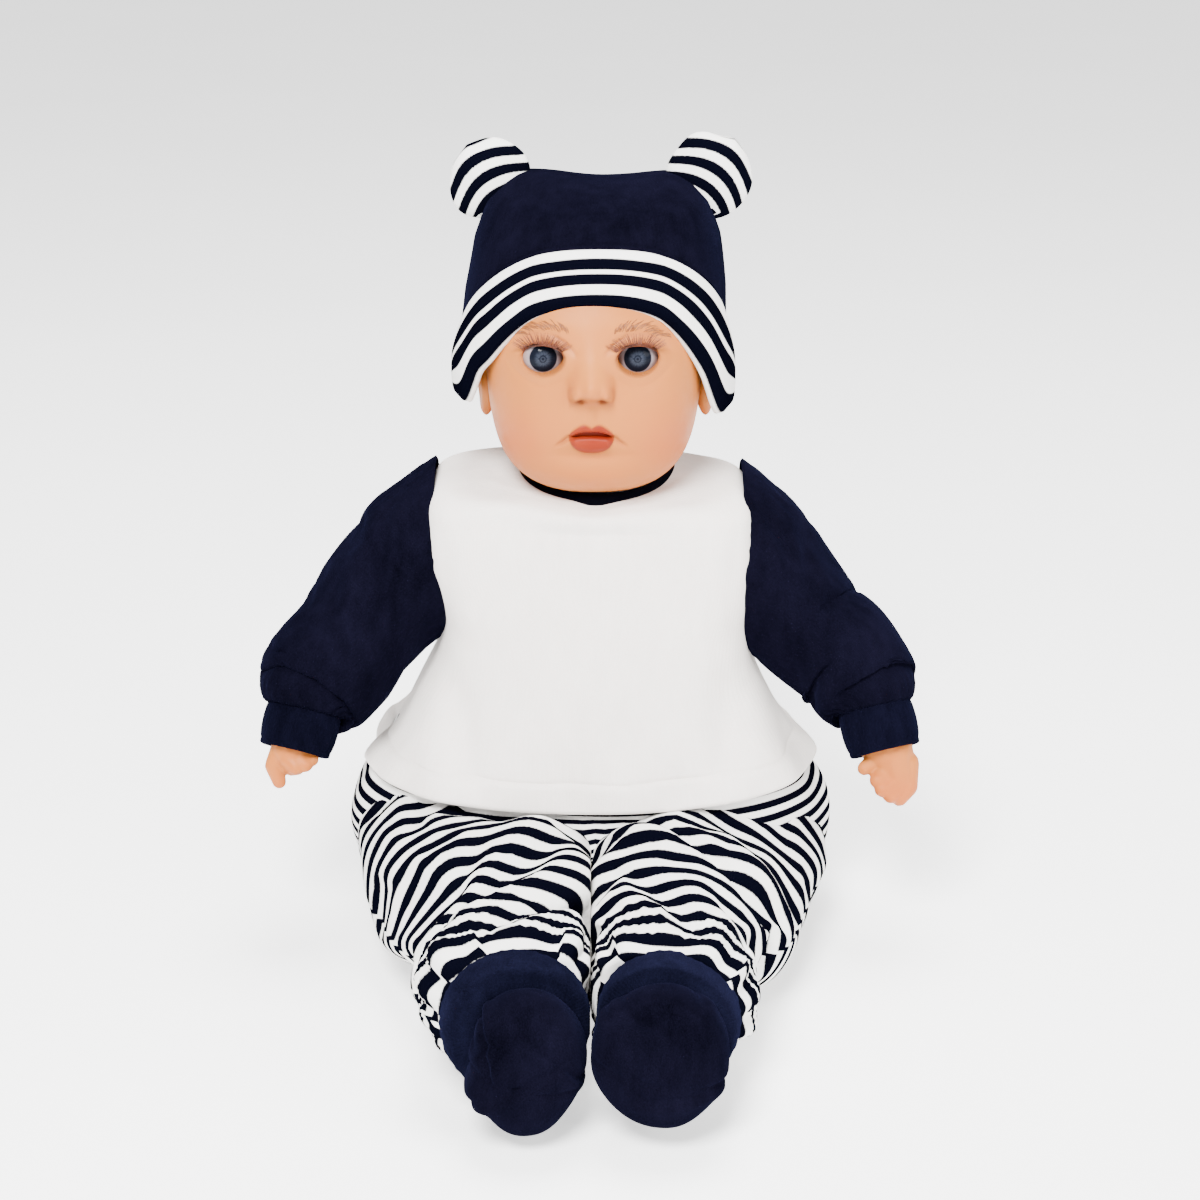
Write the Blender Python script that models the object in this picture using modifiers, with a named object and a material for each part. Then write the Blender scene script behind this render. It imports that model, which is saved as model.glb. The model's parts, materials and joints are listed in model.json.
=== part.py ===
"""Interactive baby doll, seated: a soft cloth body with a sound module, a vinyl head with sleeping eyes,
vinyl hands and feet, and knitted clothes. Metres, +Z up, the doll faces -Y, its left side is +X.
The origin is on the floor under the torso's axis, on the flat seat of the trousers."""
import math

import bmesh
import bpy
from mathutils import Matrix, Vector

# ---------------------------------------------------------------- driving dimensions
SHOULDER_Z = 0.1910         # height of the shoulder axis
SHOULDER_X = 0.0790         # plane where the arm is sewn to the torso
SEAM_GAP = 0.0005           # clearance between neighbouring pieces
SHOULDER_BOSS_R = 0.030     # stuffed shoulder that passes through the armhole
CLOTH_WALL = 0.0016
HIP = Vector((0.0, -0.015, 0.0415))   # hip axis, along X
HIP_X = 0.0590
CROTCH_W, CROTCH_FRONT = 0.0095, -0.0450    # half width and front of the crotch between the thighs
THIGH_R = 0.0405            # half height of a trouser leg at the hip
HIP_CLEAR_R = 0.0425        # the seat is cut back to this radius round the hip axis
THIGH_TOP_Z = 0.0835        # underside of the belly, just over the thighs
NECK = Vector((0.0, 0.004, 0.222))    # centre of the tied neck
NECK_STUB_R = 0.024
NECK_FLANGE_R = 0.0275
NECK_HOLE_R = 0.0315
HEAD_WALL = 0.0035          # vinyl thickness
EYE_X, EYE_Y, EYE_Z = 0.0222, -0.0490, 0.2990
EYE_R = 0.0115
EYE_GAP = 0.0012
IRIS_R = 0.0065
ELBOW = Vector((0.1330, -0.034, 0.146))
WRIST = Vector((0.1440, -0.053, 0.104))
FOREARM_R = 0.0122
MODULE = Vector((0.0, 0.016, 0.137))  # centre of the sound module's parting face
MODULE_W, MODULE_H = 0.068, 0.064
FRONT_D, REAR_D = 0.016, 0.019        # depths of the module's front and rear cases
CASE_WALL = 0.0018
CELL_R, CELL_L = 0.00725, 0.0505      # AA cell
CELL_PITCH = 0.0155
BAY_X, BAY_Z = 0.0302, 0.0240
BUTTON_X, SPEAKER_X, SWITCH_X = -0.0175, 0.0165, 0.0220
BUTTON_R = 0.010
FINE, COARSE = 32, 16                 # sides of round pieces

for old in list(bpy.data.objects):
    bpy.data.objects.remove(old)

doll = bpy.data.collections.new("interactive_baby_doll")
cutters = bpy.data.collections.new("cutters")
bpy.context.scene.collection.children.link(doll)
bpy.context.scene.collection.children.link(cutters)


# ---------------------------------------------------------------- materials
def material(name, colour, roughness, metallic=0.0):
    mat = bpy.data.materials.new(name)
    mat.use_nodes = True
    shader = mat.node_tree.nodes["Principled BSDF"]
    shader.inputs["Base Color"].default_value = (*colour, 1.0)
    shader.inputs["Roughness"].default_value = roughness
    shader.inputs["Metallic"].default_value = metallic
    return mat


VINYL = material("vinyl", (0.86, 0.62, 0.50), 0.45)
STUFFING = material("body_cloth", (0.80, 0.68, 0.60), 0.9)
NAVY = material("navy_velour", (0.012, 0.014, 0.055), 0.9)
WHITE_KNIT = material("white_velour", (0.82, 0.80, 0.78), 0.9)
STRIPED = material("striped_velour", (0.45, 0.45, 0.46), 0.9)
NYLON = material("nylon_tie", (0.85, 0.85, 0.82), 0.4)
EYE_WHITE = material("eye_white", (0.85, 0.86, 0.88), 0.15)
EYE_IRIS = material("eye_iris", (0.10, 0.13, 0.18), 0.08)
LASH = material("lash", (0.35, 0.16, 0.08), 0.6)
STEEL = material("steel", (0.55, 0.55, 0.56), 0.35, 1.0)
CASE_PLASTIC = material("case_plastic", (0.80, 0.80, 0.78), 0.4)
BUTTON_RED = material("button_plastic", (0.70, 0.08, 0.06), 0.35)
BOARD_GREEN = material("circuit_board", (0.03, 0.22, 0.08), 0.5)
CONE_PAPER = material("speaker_cone", (0.03, 0.03, 0.03), 0.8)
CELL_JACKET = material("cell_jacket", (0.10, 0.12, 0.12), 0.35)


# ---------------------------------------------------------------- modelling helpers
def add(name, mesh, mat=None, collection=None):
    obj = bpy.data.objects.new(name, mesh)
    if mat is not None:
        mesh.materials.clear()
        mesh.materials.append(mat)
    (collection or cutters).objects.link(obj)
    if (collection or cutters) is cutters:
        obj.hide_render = True
        obj.display_type = "WIRE"
    return obj


def from_bmesh(name, bm, mat=None, collection=None):
    mesh = bpy.data.meshes.new(name)
    bm.to_mesh(mesh)
    bm.free()
    return add(name, mesh, mat, collection)


def ball(name, centre, radii, mat=None, collection=None, segments=COARSE, rings=10):
    bm = bmesh.new()
    place = Matrix.Translation(centre) @ Matrix.Diagonal((*radii, 1.0))
    bmesh.ops.create_uvsphere(bm, u_segments=segments, v_segments=rings, radius=1.0, matrix=place)
    return from_bmesh(name, bm, mat, collection)


def rod(name, start, end, radius, mat=None, collection=None, end_radius=None, sides=COARSE):
    start, end = Vector(start), Vector(end)
    along = end - start
    turn = along.to_track_quat("Z", "Y").to_matrix().to_4x4()
    bm = bmesh.new()
    bmesh.ops.create_cone(
        bm, cap_ends=True, segments=sides, radius1=radius,
        radius2=radius if end_radius is None else end_radius, depth=along.length,
        matrix=Matrix.Translation((start + end) / 2) @ turn,
    )
    return from_bmesh(name, bm, mat, collection)


def block(name, low, high, mat=None, collection=None):
    low, high = Vector(low), Vector(high)
    bm = bmesh.new()
    size = Matrix.Diagonal((*(high - low), 1.0))
    bmesh.ops.create_cube(bm, size=1.0, matrix=Matrix.Translation((low + high) / 2) @ size)
    return from_bmesh(name, bm, mat, collection)


def combine(obj, other, operation="DIFFERENCE"):
    """obj keeps a live Boolean with other, which stays as a hidden cutter."""
    step = obj.modifiers.new(f"{operation.lower()}_{other.name}", "BOOLEAN")
    step.operation = operation
    step.object = other
    step.solver = "EXACT"
    return obj


def skin_of(name, loops, mat, collection, wall):
    """Joins closed loops of the same number of points into a capped solid, or with a wall into an open skin
    that is thickened inwards."""
    bm = bmesh.new()
    rows = [[bm.verts.new(place) for place in loop] for loop in loops]
    count = len(loops[0])
    for upper, lower in zip(rows, rows[1:]):
        for k in range(count):
            bm.faces.new((upper[k], upper[(k + 1) % count], lower[(k + 1) % count], lower[k]))
    if not wall:
        bm.faces.new(reversed(rows[0]))
        bm.faces.new(rows[-1])
    bmesh.ops.recalc_face_normals(bm, faces=bm.faces)
    skin = from_bmesh(name, bm, mat, collection)
    if wall:
        solid = skin.modifiers.new("thickness", "SOLIDIFY")
        solid.thickness = wall
        solid.offset = -1.0
    return skin


def stacked(name, rows, mat=None, collection=None, wall=0.0, sides=FINE, grow=0.0):
    """Level sections from top to bottom, each (z, half width, front y, back y, squareness)."""
    loops = []
    for z, half_width, front, back, squareness in rows:
        middle, depth = (front + back) / 2, (back - front) / 2 + grow
        loop = []
        for k in range(sides):
            angle = 2 * math.pi * (k + 0.5) / sides
            across, along = math.cos(angle), math.sin(angle)
            power = 2.0 / squareness
            loop.append(Vector(((half_width + grow) * math.copysign(abs(across) ** power, across),
                                middle + depth * math.copysign(abs(along) ** power, along), z)))
        loops.append(loop)
    return skin_of(name, loops, mat, collection, wall)


def limb(name, stations, across, mat=None, collection=None, wall=0.0, sides=COARSE, side=1.0, grow=0.0):
    """Oval sections along a path, each (centre, half width along `across`, half height)."""
    loops = []
    for k, (centre, half_width, half_height) in enumerate(stations):
        before, after = stations[max(k - 1, 0)][0], stations[min(k + 1, len(stations) - 1)][0]
        way = (Vector(after) - Vector(before)).normalized()
        wide = (across - across.dot(way) * way).normalized()
        high = way.cross(wide)
        loop = []
        for step in range(sides):
            angle = 2 * math.pi * step / sides
            place = (Vector(centre) + wide * (half_width + grow) * math.cos(angle)
                     + high * (half_height + grow) * math.sin(angle))
            loop.append(mirrored(place, side))
        loops.append(loop)
    return skin_of(name, loops, mat, collection, wall)


def ring(name, centre, way, inner, outer, length, mat=None, collection=None, sides=20):
    """A plain band round an axis, starting at centre."""
    end = centre + way * length
    band = rod(name, centre, end, outer, mat, collection, sides=sides)
    return combine(band, rod(f"{name}_bore", centre - way * 0.01, end + way * 0.01, inner, sides=sides))


def wire(name, points, radius, mat=None, collection=None, resolution=0):
    """A thin round wire through the points."""
    curve = bpy.data.curves.new(name + "_path", "CURVE")
    curve.dimensions = "3D"
    curve.bevel_depth = radius
    curve.bevel_resolution = resolution
    curve.use_fill_caps = True
    spline = curve.splines.new("POLY")
    spline.points.add(len(points) - 1)
    for knot, place in zip(spline.points, points):
        knot.co = (*place, 1.0)
    path = bpy.data.objects.new(name + "_path", curve)
    cutters.objects.link(path)
    bpy.context.view_layer.update()
    mesh = bpy.data.meshes.new_from_object(path.evaluated_get(bpy.context.evaluated_depsgraph_get()))
    bpy.data.objects.remove(path)
    bm = bmesh.new()
    bm.from_mesh(mesh)
    bmesh.ops.remove_doubles(bm, verts=bm.verts, dist=1e-6)
    bmesh.ops.recalc_face_normals(bm, faces=bm.faces)
    bpy.data.meshes.remove(mesh)
    return from_bmesh(name, bm, mat, collection)


def smooth(obj):
    obj.data.shade_smooth()
    return obj


def between(start, end, share):
    return Vector(start) + (Vector(end) - Vector(start)) * share


def hinge_empty(name, place, members):
    """Parents the moving pieces to an empty on their joint's axis."""
    empty = bpy.data.objects.new(name, None)
    doll.objects.link(empty)
    empty.location = place
    bpy.context.view_layer.update()
    for piece in members:
        piece.parent = empty
        piece.matrix_parent_inverse = empty.matrix_world.inverted()
    return empty


def mirrored(point, side):
    return Vector((point[0] * side, point[1], point[2]))


def sorted_corners(one, other):
    """The lowest and the highest corner of the block that spans two points."""
    return tuple(map(min, one, other)), tuple(map(max, one, other))


SIDES = (("left", 1.0), ("right", -1.0))


# ---------------------------------------------------------------- head
CRANIUM, CRANIUM_R = Vector((0, 0.010, 0.314)), Vector((0.0605, 0.068, 0.055))
FACE, FACE_R = Vector((0, -0.014, 0.290)), Vector((0.0545, 0.0555, 0.0530))


def make_head():
    wall = Vector((HEAD_WALL,) * 3)
    head = ball("head_shell", CRANIUM, CRANIUM_R, VINYL, doll, segments=24, rings=14)
    combine(head, ball("face", FACE, FACE_R, segments=24, rings=13), "UNION")
    combine(head, ball("nose", (0, -0.0670, 0.2835), (0.0095, 0.0085, 0.0075), segments=12, rings=8), "UNION")
    for side_name, side in SIDES:
        ear = ball(f"ear_{side_name}", (side * 0.0560, 0.004, 0.283), (0.006, 0.010, 0.016), segments=12,
                   rings=8)
        combine(head, ear, "UNION")
    low = Vector((NECK.x, NECK.y, 0.2140))
    combine(head, rod("neck_stub", low + Vector((0, 0, 0.0006)), Vector((NECK.x, NECK.y, 0.2620)), NECK_STUB_R,
                      sides=24), "UNION")
    combine(head, rod("neck_flange", low, Vector((NECK.x, NECK.y, 0.2170)), NECK_FLANGE_R, sides=24), "UNION")
    combine(head, ball("cavity_cranium", CRANIUM, CRANIUM_R - wall, segments=18, rings=11))
    combine(head, ball("cavity_face", FACE, FACE_R - wall, segments=16, rings=10))
    combine(head, rod("neck_bore", low - Vector((0, 0, 0.01)), Vector((NECK.x, NECK.y, 0.2700)), 0.0195,
                      sides=20))
    for side_name, side in SIDES:
        eye = Vector((side * EYE_X, EYE_Y, EYE_Z))
        combine(head, ball(f"eye_clearance_{side_name}", eye, (EYE_R + EYE_GAP,) * 3))
        seat = ball(f"eye_seat_{side_name}", eye + Vector((0, 0.0035, 0)), (0.0152,) * 3, rings=10)
        combine(seat, block(f"eye_seat_trim_{side_name}", (-0.1, -0.1, 0.2), (0.1, eye.y + 0.0012, 0.4)))
        combine(head, seat)
        lids = rod(f"eye_opening_{side_name}", (0, -0.030, 0), (0, 0, 0), 1.0)
        lids.data.transform(Matrix.Translation(eye) @ Matrix.Diagonal((0.0100, 1.0, 0.0064, 1.0)))
        combine(head, lids)
    return smooth(head)


def make_eye(side_name, side):
    """Eyeball with its iris insert, lash strip and counterweight, on the trunnion axis, and its fixed cup."""
    eye = Vector((side * EYE_X, EYE_Y, EYE_Z))
    eyeball = ball(f"eyeball_{side_name}", eye, (EYE_R,) * 3, EYE_WHITE, doll, segments=16, rings=12)
    recess_floor = eye + Vector((0, -EYE_R + 0.0035, 0))
    outside = eye + Vector((0, -EYE_R - 0.004, 0))
    combine(eyeball, rod(f"iris_recess_{side_name}", recess_floor, outside, IRIS_R + 0.0003))
    behind = eye + Vector((0, EYE_R - 0.0020, 0))
    combine(eyeball, block(f"eyeball_back_{side_name}", behind - Vector((0.02, 0, 0.02)),
                           behind + Vector((0.02, 0.01, 0.02))))
    stem_end = eye + Vector((0, 0.0160, -0.004))
    combine(eyeball, rod(f"weight_stem_{side_name}", eye + Vector((0, 0.006, 0)), stem_end, 0.0014, sides=8),
            "UNION")

    iris = rod(f"iris_{side_name}", recess_floor - Vector((0, 0.0003, 0)), outside, IRIS_R, EYE_IRIS, doll)
    combine(iris, ball(f"iris_dome_{side_name}", eye, (EYE_R,) * 3, segments=16, rings=12), "INTERSECT")

    weight_start = stem_end + Vector((0, 0.0003, -0.0045))
    weight = rod(f"eye_weight_{side_name}", weight_start, weight_start + Vector((0, 0.006, 0)), 0.0042,
                 STEEL, doll, sides=12)
    combine(weight, rod(f"weight_bore_{side_name}", weight_start - Vector((0, 0.01, 0)),
                        weight_start + Vector((0, 0.01, 0)), 0.0012, sides=8))

    lash_points = []
    for step in range(9):
        angle = math.radians(-36 + 9 * step)
        lift = math.radians(31)
        reach = EYE_R + 0.0006
        lash_points.append(eye + reach * Vector((math.sin(angle) * math.cos(lift),
                                                 -math.cos(angle) * math.cos(lift), math.sin(lift))))
    lash = wire(f"eyelash_{side_name}", lash_points, 0.0003, LASH, doll)

    cup = ball(f"eye_cup_{side_name}", eye + Vector((0, 0.0035, 0)), (0.0146,) * 3, CASE_PLASTIC, doll,
               segments=16, rings=10)
    combine(cup, ball(f"cup_inside_{side_name}", eye + Vector((0, 0.0005, 0)), (EYE_R + 0.0013,) * 3,
                      segments=16, rings=10))
    combine(cup, block(f"cup_front_{side_name}", (-0.1, -0.1, 0.2), (0.1, eye.y + 0.0018, 0.4)))
    combine(cup, block(f"cup_slot_{side_name}", eye + Vector((-0.0070, 0.004, -0.0200)),
                       eye + Vector((0.0070, 0.030, 0.0130))))
    for piece in (eyeball, iris, weight, lash, cup):
        smooth(piece)
    return [eyeball, iris, weight, lash], cup


# ---------------------------------------------------------------- hat
HAT_WALL = 0.0020
HAT_ROWS = [(0.3745, 0.004, 0.008, 0.020, 2.0), (0.3740, 0.030, -0.018, 0.046, 2.0),
            (0.3690, 0.0455, -0.035, 0.063, 2.1), (0.3580, 0.0565, -0.050, 0.076, 2.1),
            (0.3420, 0.0620, -0.0600, 0.0830, 2.1), (0.3200, 0.0655, -0.0655, 0.0865, 2.2),
            (0.2900, 0.0680, -0.0680, 0.0880, 2.3), (0.2500, 0.0685, -0.0680, 0.0880, 2.3)]
HAT_BACK_Z = 0.2660         # the brim's lower edge at the sides and the nape
BRIM_BACK_HEIGHT = 0.0250
FACE_EDGE = (Vector((0, -0.0650, 0.3285)), 60.0)     # the brim's edge over the forehead, and its slope
CROWN_EDGE = (Vector((0, -0.0600, 0.3535)), 40.0)    # the seam between crown and brim


def below_edge(name, edge, level_z):
    """Fills everything under a sloping edge that meets a level one behind the ears."""
    place, slope = edge
    level = block(name, (-0.12, -0.16, 0.10), (0.12, 0.16, level_z))
    wedge = block(f"{name}_wedge", (-0.125, -0.25, -0.20), (0.125, 0.20, 0.0))
    wedge.data.transform(Matrix.Translation(place) @ Matrix.Rotation(math.radians(-slope), 4, "X"))
    return combine(level, wedge, "UNION")


def make_hat():
    crown = stacked("hat_crown", HAT_ROWS, NAVY, doll, HAT_WALL, sides=28)
    brim = stacked("hat_brim", HAT_ROWS, STRIPED, doll, HAT_WALL, sides=28)
    combine(brim, below_edge("brim_keep", CROWN_EDGE, HAT_BACK_Z + BRIM_BACK_HEIGHT), "INTERSECT")
    combine(brim, below_edge("brim_cut", FACE_EDGE, HAT_BACK_Z))
    lifted = (CROWN_EDGE[0] + Vector((0, 0, SEAM_GAP)), CROWN_EDGE[1])
    combine(crown, below_edge("crown_cut", lifted, HAT_BACK_Z + BRIM_BACK_HEIGHT + SEAM_GAP))
    ears = []
    for side_name, side in SIDES:
        lean = side * math.radians(33)
        root = Vector((side * 0.0400, 0.010, 0.3640))
        ear = ball(f"hat_ear_{side_name}", (0, 0, 0.0175), (0.0210, 0.0090, 0.0205), STRIPED, doll, rings=10)
        ear.data.transform(Matrix.Translation(root) @ Matrix.Rotation(lean, 4, "Y"))
        combine(ear, stacked(f"hat_outside_{side_name}", HAT_ROWS, sides=28, grow=0.0006))
        ears.append(ear)
    for piece in (crown, brim, *ears):
        smooth(piece)
    return [crown, brim, *ears]


# ---------------------------------------------------------------- neck
def make_neck():
    """The cloth collar gathered into the head's groove, and the cable tie round it with its lock at the back."""
    up = Vector((0, 0, 1))
    collar = ring("neck_cloth", Vector((NECK.x, NECK.y, 0.2174)), up, NECK_STUB_R + 0.0003, 0.0256, 0.0100,
                  STUFFING, doll, sides=24)
    tie = ring("neck_tie", Vector((NECK.x, NECK.y, 0.2200)), up, 0.0259, 0.0272, 0.0040, NYLON, doll,
               sides=24)
    lock = block("neck_tie_lock", (-0.0025, NECK.y + 0.0266, 0.2200), (0.0025, NECK.y + 0.0290, 0.2240))
    combine(tie, lock, "UNION")
    return [smooth(collar), tie]


# ---------------------------------------------------------------- torso and what is sewn to it
BODICE_ROWS = [(0.2345, 0.0560, -0.034, 0.038, 2.4), (0.2320, 0.0720, -0.0440, 0.045, 3.4),
               (0.2260, 0.0770, -0.0480, 0.0490, 5.0), (0.2100, 0.0778, -0.0505, 0.0510, 6.0),
               (0.1850, 0.0780, -0.0530, 0.0520, 6.0), (0.1600, 0.0782, -0.0580, 0.0530, 5.0),
               (0.1430, 0.0785, -0.0630, 0.0560, 3.5), (0.1200, 0.0865, -0.0705, 0.0630, 2.7),
               (0.0980, 0.0990, -0.0800, 0.0740, 2.3), (0.0840, 0.1120, -0.0850, 0.0800, 2.2)]
TORSO_ROWS = [(0.2300, 0.0660, -0.0380, 0.0400, 3.0), (0.2220, 0.0720, -0.0430, 0.0440, 4.0),
              (0.2050, 0.0735, -0.0465, 0.0470, 5.0), (0.1600, 0.0735, -0.0535, 0.0490, 4.0),
              (0.1430, 0.0750, -0.0585, 0.0510, 3.0), (0.1200, 0.0815, -0.0660, 0.0560, 2.5),
              (0.0980, 0.0930, -0.0740, 0.0630, 2.2), (0.0800, 0.1020, -0.0780, 0.0700, 2.2),
              (0.0550, 0.1080, -0.0780, 0.0750, 2.2), (0.0300, 0.1080, -0.0760, 0.0750, 2.2),
              (0.0100, 0.0980, -0.0680, 0.0700, 2.2), (0.0035, 0.0860, -0.0600, 0.0620, 2.2)]
SEAT_ROWS = [(0.1020, 0.0945, -0.0760, 0.0655, 2.2), (0.0800, 0.1060, -0.0810, 0.0735, 2.2),
             (0.0560, 0.1120, -0.0810, 0.0785, 2.2), (0.0300, 0.1120, -0.0790, 0.0785, 2.2),
             (0.0070, 0.1010, -0.0710, 0.0730, 2.2), (0.0008, 0.0900, -0.0640, 0.0650, 2.2),
             (0.0000, 0.0860, -0.0600, 0.0620, 2.2), (0.0000, 0.0080, -0.0060, 0.0070, 2.0)]


def hip_cutters(name):
    """The room that the thighs need: round the hip axis, in front of it, and below it while they swing down.
    A narrow crotch stays between them."""
    wide, high = 0.14, HIP.z
    cuts = [block(f"{name}_lap", (-wide, -0.30, -0.02), (wide, CROTCH_FRONT, THIGH_TOP_Z))]
    for side_name, side in SIDES:
        inner, outer = sorted((side * CROTCH_W, side * wide))
        cuts += [rod(f"{name}_drum_{side_name}", (inner, HIP.y, high), (outer, HIP.y, high), HIP_CLEAR_R,
                     sides=FINE),
                 block(f"{name}_front_{side_name}", (inner, -0.25, -0.02), (outer, HIP.y, THIGH_TOP_Z)),
                 block(f"{name}_under_{side_name}", (inner, -0.25, -0.02), (outer, HIP.y + HIP_CLEAR_R, high))]
    return cuts


def make_torso():
    torso = stacked("torso_body", TORSO_ROWS, STUFFING, doll, sides=28)
    for side_name, side in SIDES:
        boss = rod(f"shoulder_boss_{side_name}", (side * 0.055, 0, SHOULDER_Z),
                   (side * (SHOULDER_X - SEAM_GAP), 0, SHOULDER_Z), SHOULDER_BOSS_R, sides=24)
        combine(torso, boss, "UNION")
    for cutter in hip_cutters("torso_hip"):
        combine(torso, cutter)
    neck_floor = Vector((NECK.x, NECK.y, 0.2020))
    combine(torso, rod("neck_hole", neck_floor, neck_floor + Vector((0, 0, 0.05)), NECK_HOLE_R, sides=24))
    pocket_low = MODULE + Vector((-MODULE_W / 2 - 0.0012, -FRONT_D - 0.0080, -MODULE_H / 2 - 0.0012))
    pocket_high = MODULE + Vector((MODULE_W / 2 + 0.0012, 0.09, MODULE_H / 2 + 0.0012))
    combine(torso, block("module_pocket", pocket_low, pocket_high))
    flap = block("pocket_flap", MODULE + Vector((-MODULE_W / 2 - 0.0008, REAR_D + 0.0030, -MODULE_H / 2 - 0.0008)),
                 MODULE + Vector((MODULE_W / 2 + 0.0008, REAR_D + 0.0055, MODULE_H / 2 + 0.0008)), STUFFING, doll)
    return smooth(torso), flap


def make_bodice():
    bodice = stacked("shirt_bodice", BODICE_ROWS, WHITE_KNIT, doll, CLOTH_WALL, sides=28)
    armhole = rod("armhole", (-0.12, 0, SHOULDER_Z), (0.12, 0, SHOULDER_Z), SHOULDER_BOSS_R + 0.0006, sides=24)
    combine(bodice, armhole)
    yoke = stacked("neck_yoke", [(0.2345, 0.0570, -0.0350, 0.0390, 2.4), (0.2329, 0.0570, -0.0350, 0.0390, 2.4)])
    combine(bodice, yoke, "UNION")
    hole = stacked("neck_hole_in_shirt", [(0.2500, *NECK_OPENING), (0.2200, *NECK_OPENING)])
    combine(bodice, hole)
    binding = stacked("neckline_binding", [(0.2341, *NECK_OPENING), (0.2326, *NECK_OPENING)], NAVY, doll,
                      grow=-0.0003)
    combine(binding, stacked("binding_hole", [(0.2500, *NECK_OPENING), (0.2200, *NECK_OPENING)],
                             grow=-0.0021))
    return smooth(bodice), binding


NECK_OPENING = (0.0335, -0.0295, 0.0375, 2.0)    # half width, front y, back y, squareness


def make_trouser_seat():
    seat = stacked("trousers_seat", SEAT_ROWS, STRIPED, doll, CLOTH_WALL, sides=28)
    combine(seat, block("seat_floor", (-0.0090, -0.0110, 0.0), (0.0090, 0.0140, CLOTH_WALL)), "UNION")
    for cutter in hip_cutters("seat_hip"):
        combine(seat, cutter)
    return smooth(seat)


# ---------------------------------------------------------------- sound module
BEHIND, AHEAD, UP = Vector((0, 1, 0)), Vector((0, -1, 0)), Vector((0, 0, 1))
SCREW_Z = 0.0283            # door screw above the module's centre, case screws as far below


def make_front_case():
    """Tray with the button's hole and a speaker grille."""
    x, z = MODULE_W / 2, MODULE_H / 2
    low, high = MODULE + Vector((-x, -FRONT_D, -z)), MODULE + Vector((x, -SEAM_GAP / 2, z))
    case = block("module_front_case", low, high, CASE_PLASTIC, doll)
    combine(case, block("front_hollow", low + Vector((CASE_WALL,) * 3),
                        high + Vector((-CASE_WALL, 0.01, -CASE_WALL))))
    hole = MODULE + Vector((BUTTON_X, 0, 0))
    combine(case, rod("button_hole", hole + AHEAD * 0.03, hole, BUTTON_R + 0.0004, sides=20))
    for k in range(7):
        angle, reach = 2 * math.pi * k / 6, 0.0065 if k < 6 else 0.0
        at = MODULE + Vector((SPEAKER_X + reach * math.cos(angle), 0, reach * math.sin(angle)))
        combine(case, rod(f"grille_{k}", at + AHEAD * 0.03, at + AHEAD * (FRONT_D - 0.005), 0.0015, sides=8))
    return case


def make_rear_case():
    """Back half with the battery bay, the door's rebate, the switch slot and the screw holes."""
    x, z = MODULE_W / 2, MODULE_H / 2
    case = block("module_rear_case", MODULE + Vector((-x, SEAM_GAP / 2, -z)), MODULE + Vector((x, REAR_D, z)),
                 CASE_PLASTIC, doll)
    combine(case, block("battery_bay", MODULE + Vector((-BAY_X, CASE_WALL + SEAM_GAP, -BAY_Z)),
                        MODULE + Vector((BAY_X, 0.04, BAY_Z))))
    combine(case, block("door_rebate", MODULE + Vector((-BAY_X - 0.0015, REAR_D - 0.0018, -BAY_Z - 0.0015)),
                        MODULE + Vector((BAY_X + 0.0015, 0.04, BAY_Z + 0.0015))))
    combine(case, block("tab_rebate", MODULE + Vector((-0.0054, REAR_D - 0.0018, BAY_Z)),
                        MODULE + Vector((0.0054, 0.04, SCREW_Z + 0.0030))))
    slot = MODULE + Vector((SWITCH_X, REAR_D - 0.010, z))
    combine(case, block("switch_slot", slot + Vector((-0.0052, -0.0024, -0.0055)),
                        slot + Vector((0.0052, 0.0024, 0.01))))
    for k, place in enumerate(((0.0, SCREW_Z), (-0.0290, -SCREW_Z), (0.0290, -SCREW_Z))):
        at = MODULE + Vector((place[0], REAR_D, place[1]))
        combine(case, rod(f"screw_hole_{k}", at + AHEAD * 0.0100, at + BEHIND * 0.01, 0.0014, sides=10))
    return case


def make_door():
    door = block("battery_door", MODULE + Vector((-BAY_X - 0.0012, REAR_D - 0.0015, -BAY_Z - 0.0012)),
                 MODULE + Vector((BAY_X + 0.0012, REAR_D, BAY_Z + 0.0012)), CASE_PLASTIC, doll)
    combine(door, block("door_tab", MODULE + Vector((-0.0050, REAR_D - 0.0014, BAY_Z - 0.002)),
                        MODULE + Vector((0.0050, REAR_D - 0.0001, SCREW_Z + 0.0026))), "UNION")
    hole = MODULE + Vector((0, REAR_D, SCREW_Z))
    combine(door, rod("door_screw_hole", hole + AHEAD * 0.01, hole + BEHIND * 0.01, 0.0014, sides=10))
    return door


def make_screw(name, under_head, length):
    """A pan-head screw driven forwards, with a slot across its head."""
    screw = rod(name, under_head + BEHIND * 0.0003, under_head + BEHIND * 0.0015, 0.0024, STEEL, doll, sides=12)
    combine(screw, rod(f"{name}_shank", under_head + BEHIND * 0.0009, under_head + AHEAD * length, 0.0011,
                       sides=8), "UNION")
    top = under_head + BEHIND * 0.0015
    combine(screw, block(f"{name}_slot", top - Vector((0.0030, 0.0005, 0.0003)),
                         top + Vector((0.0030, 0.001, 0.0003))))
    return screw


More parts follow.
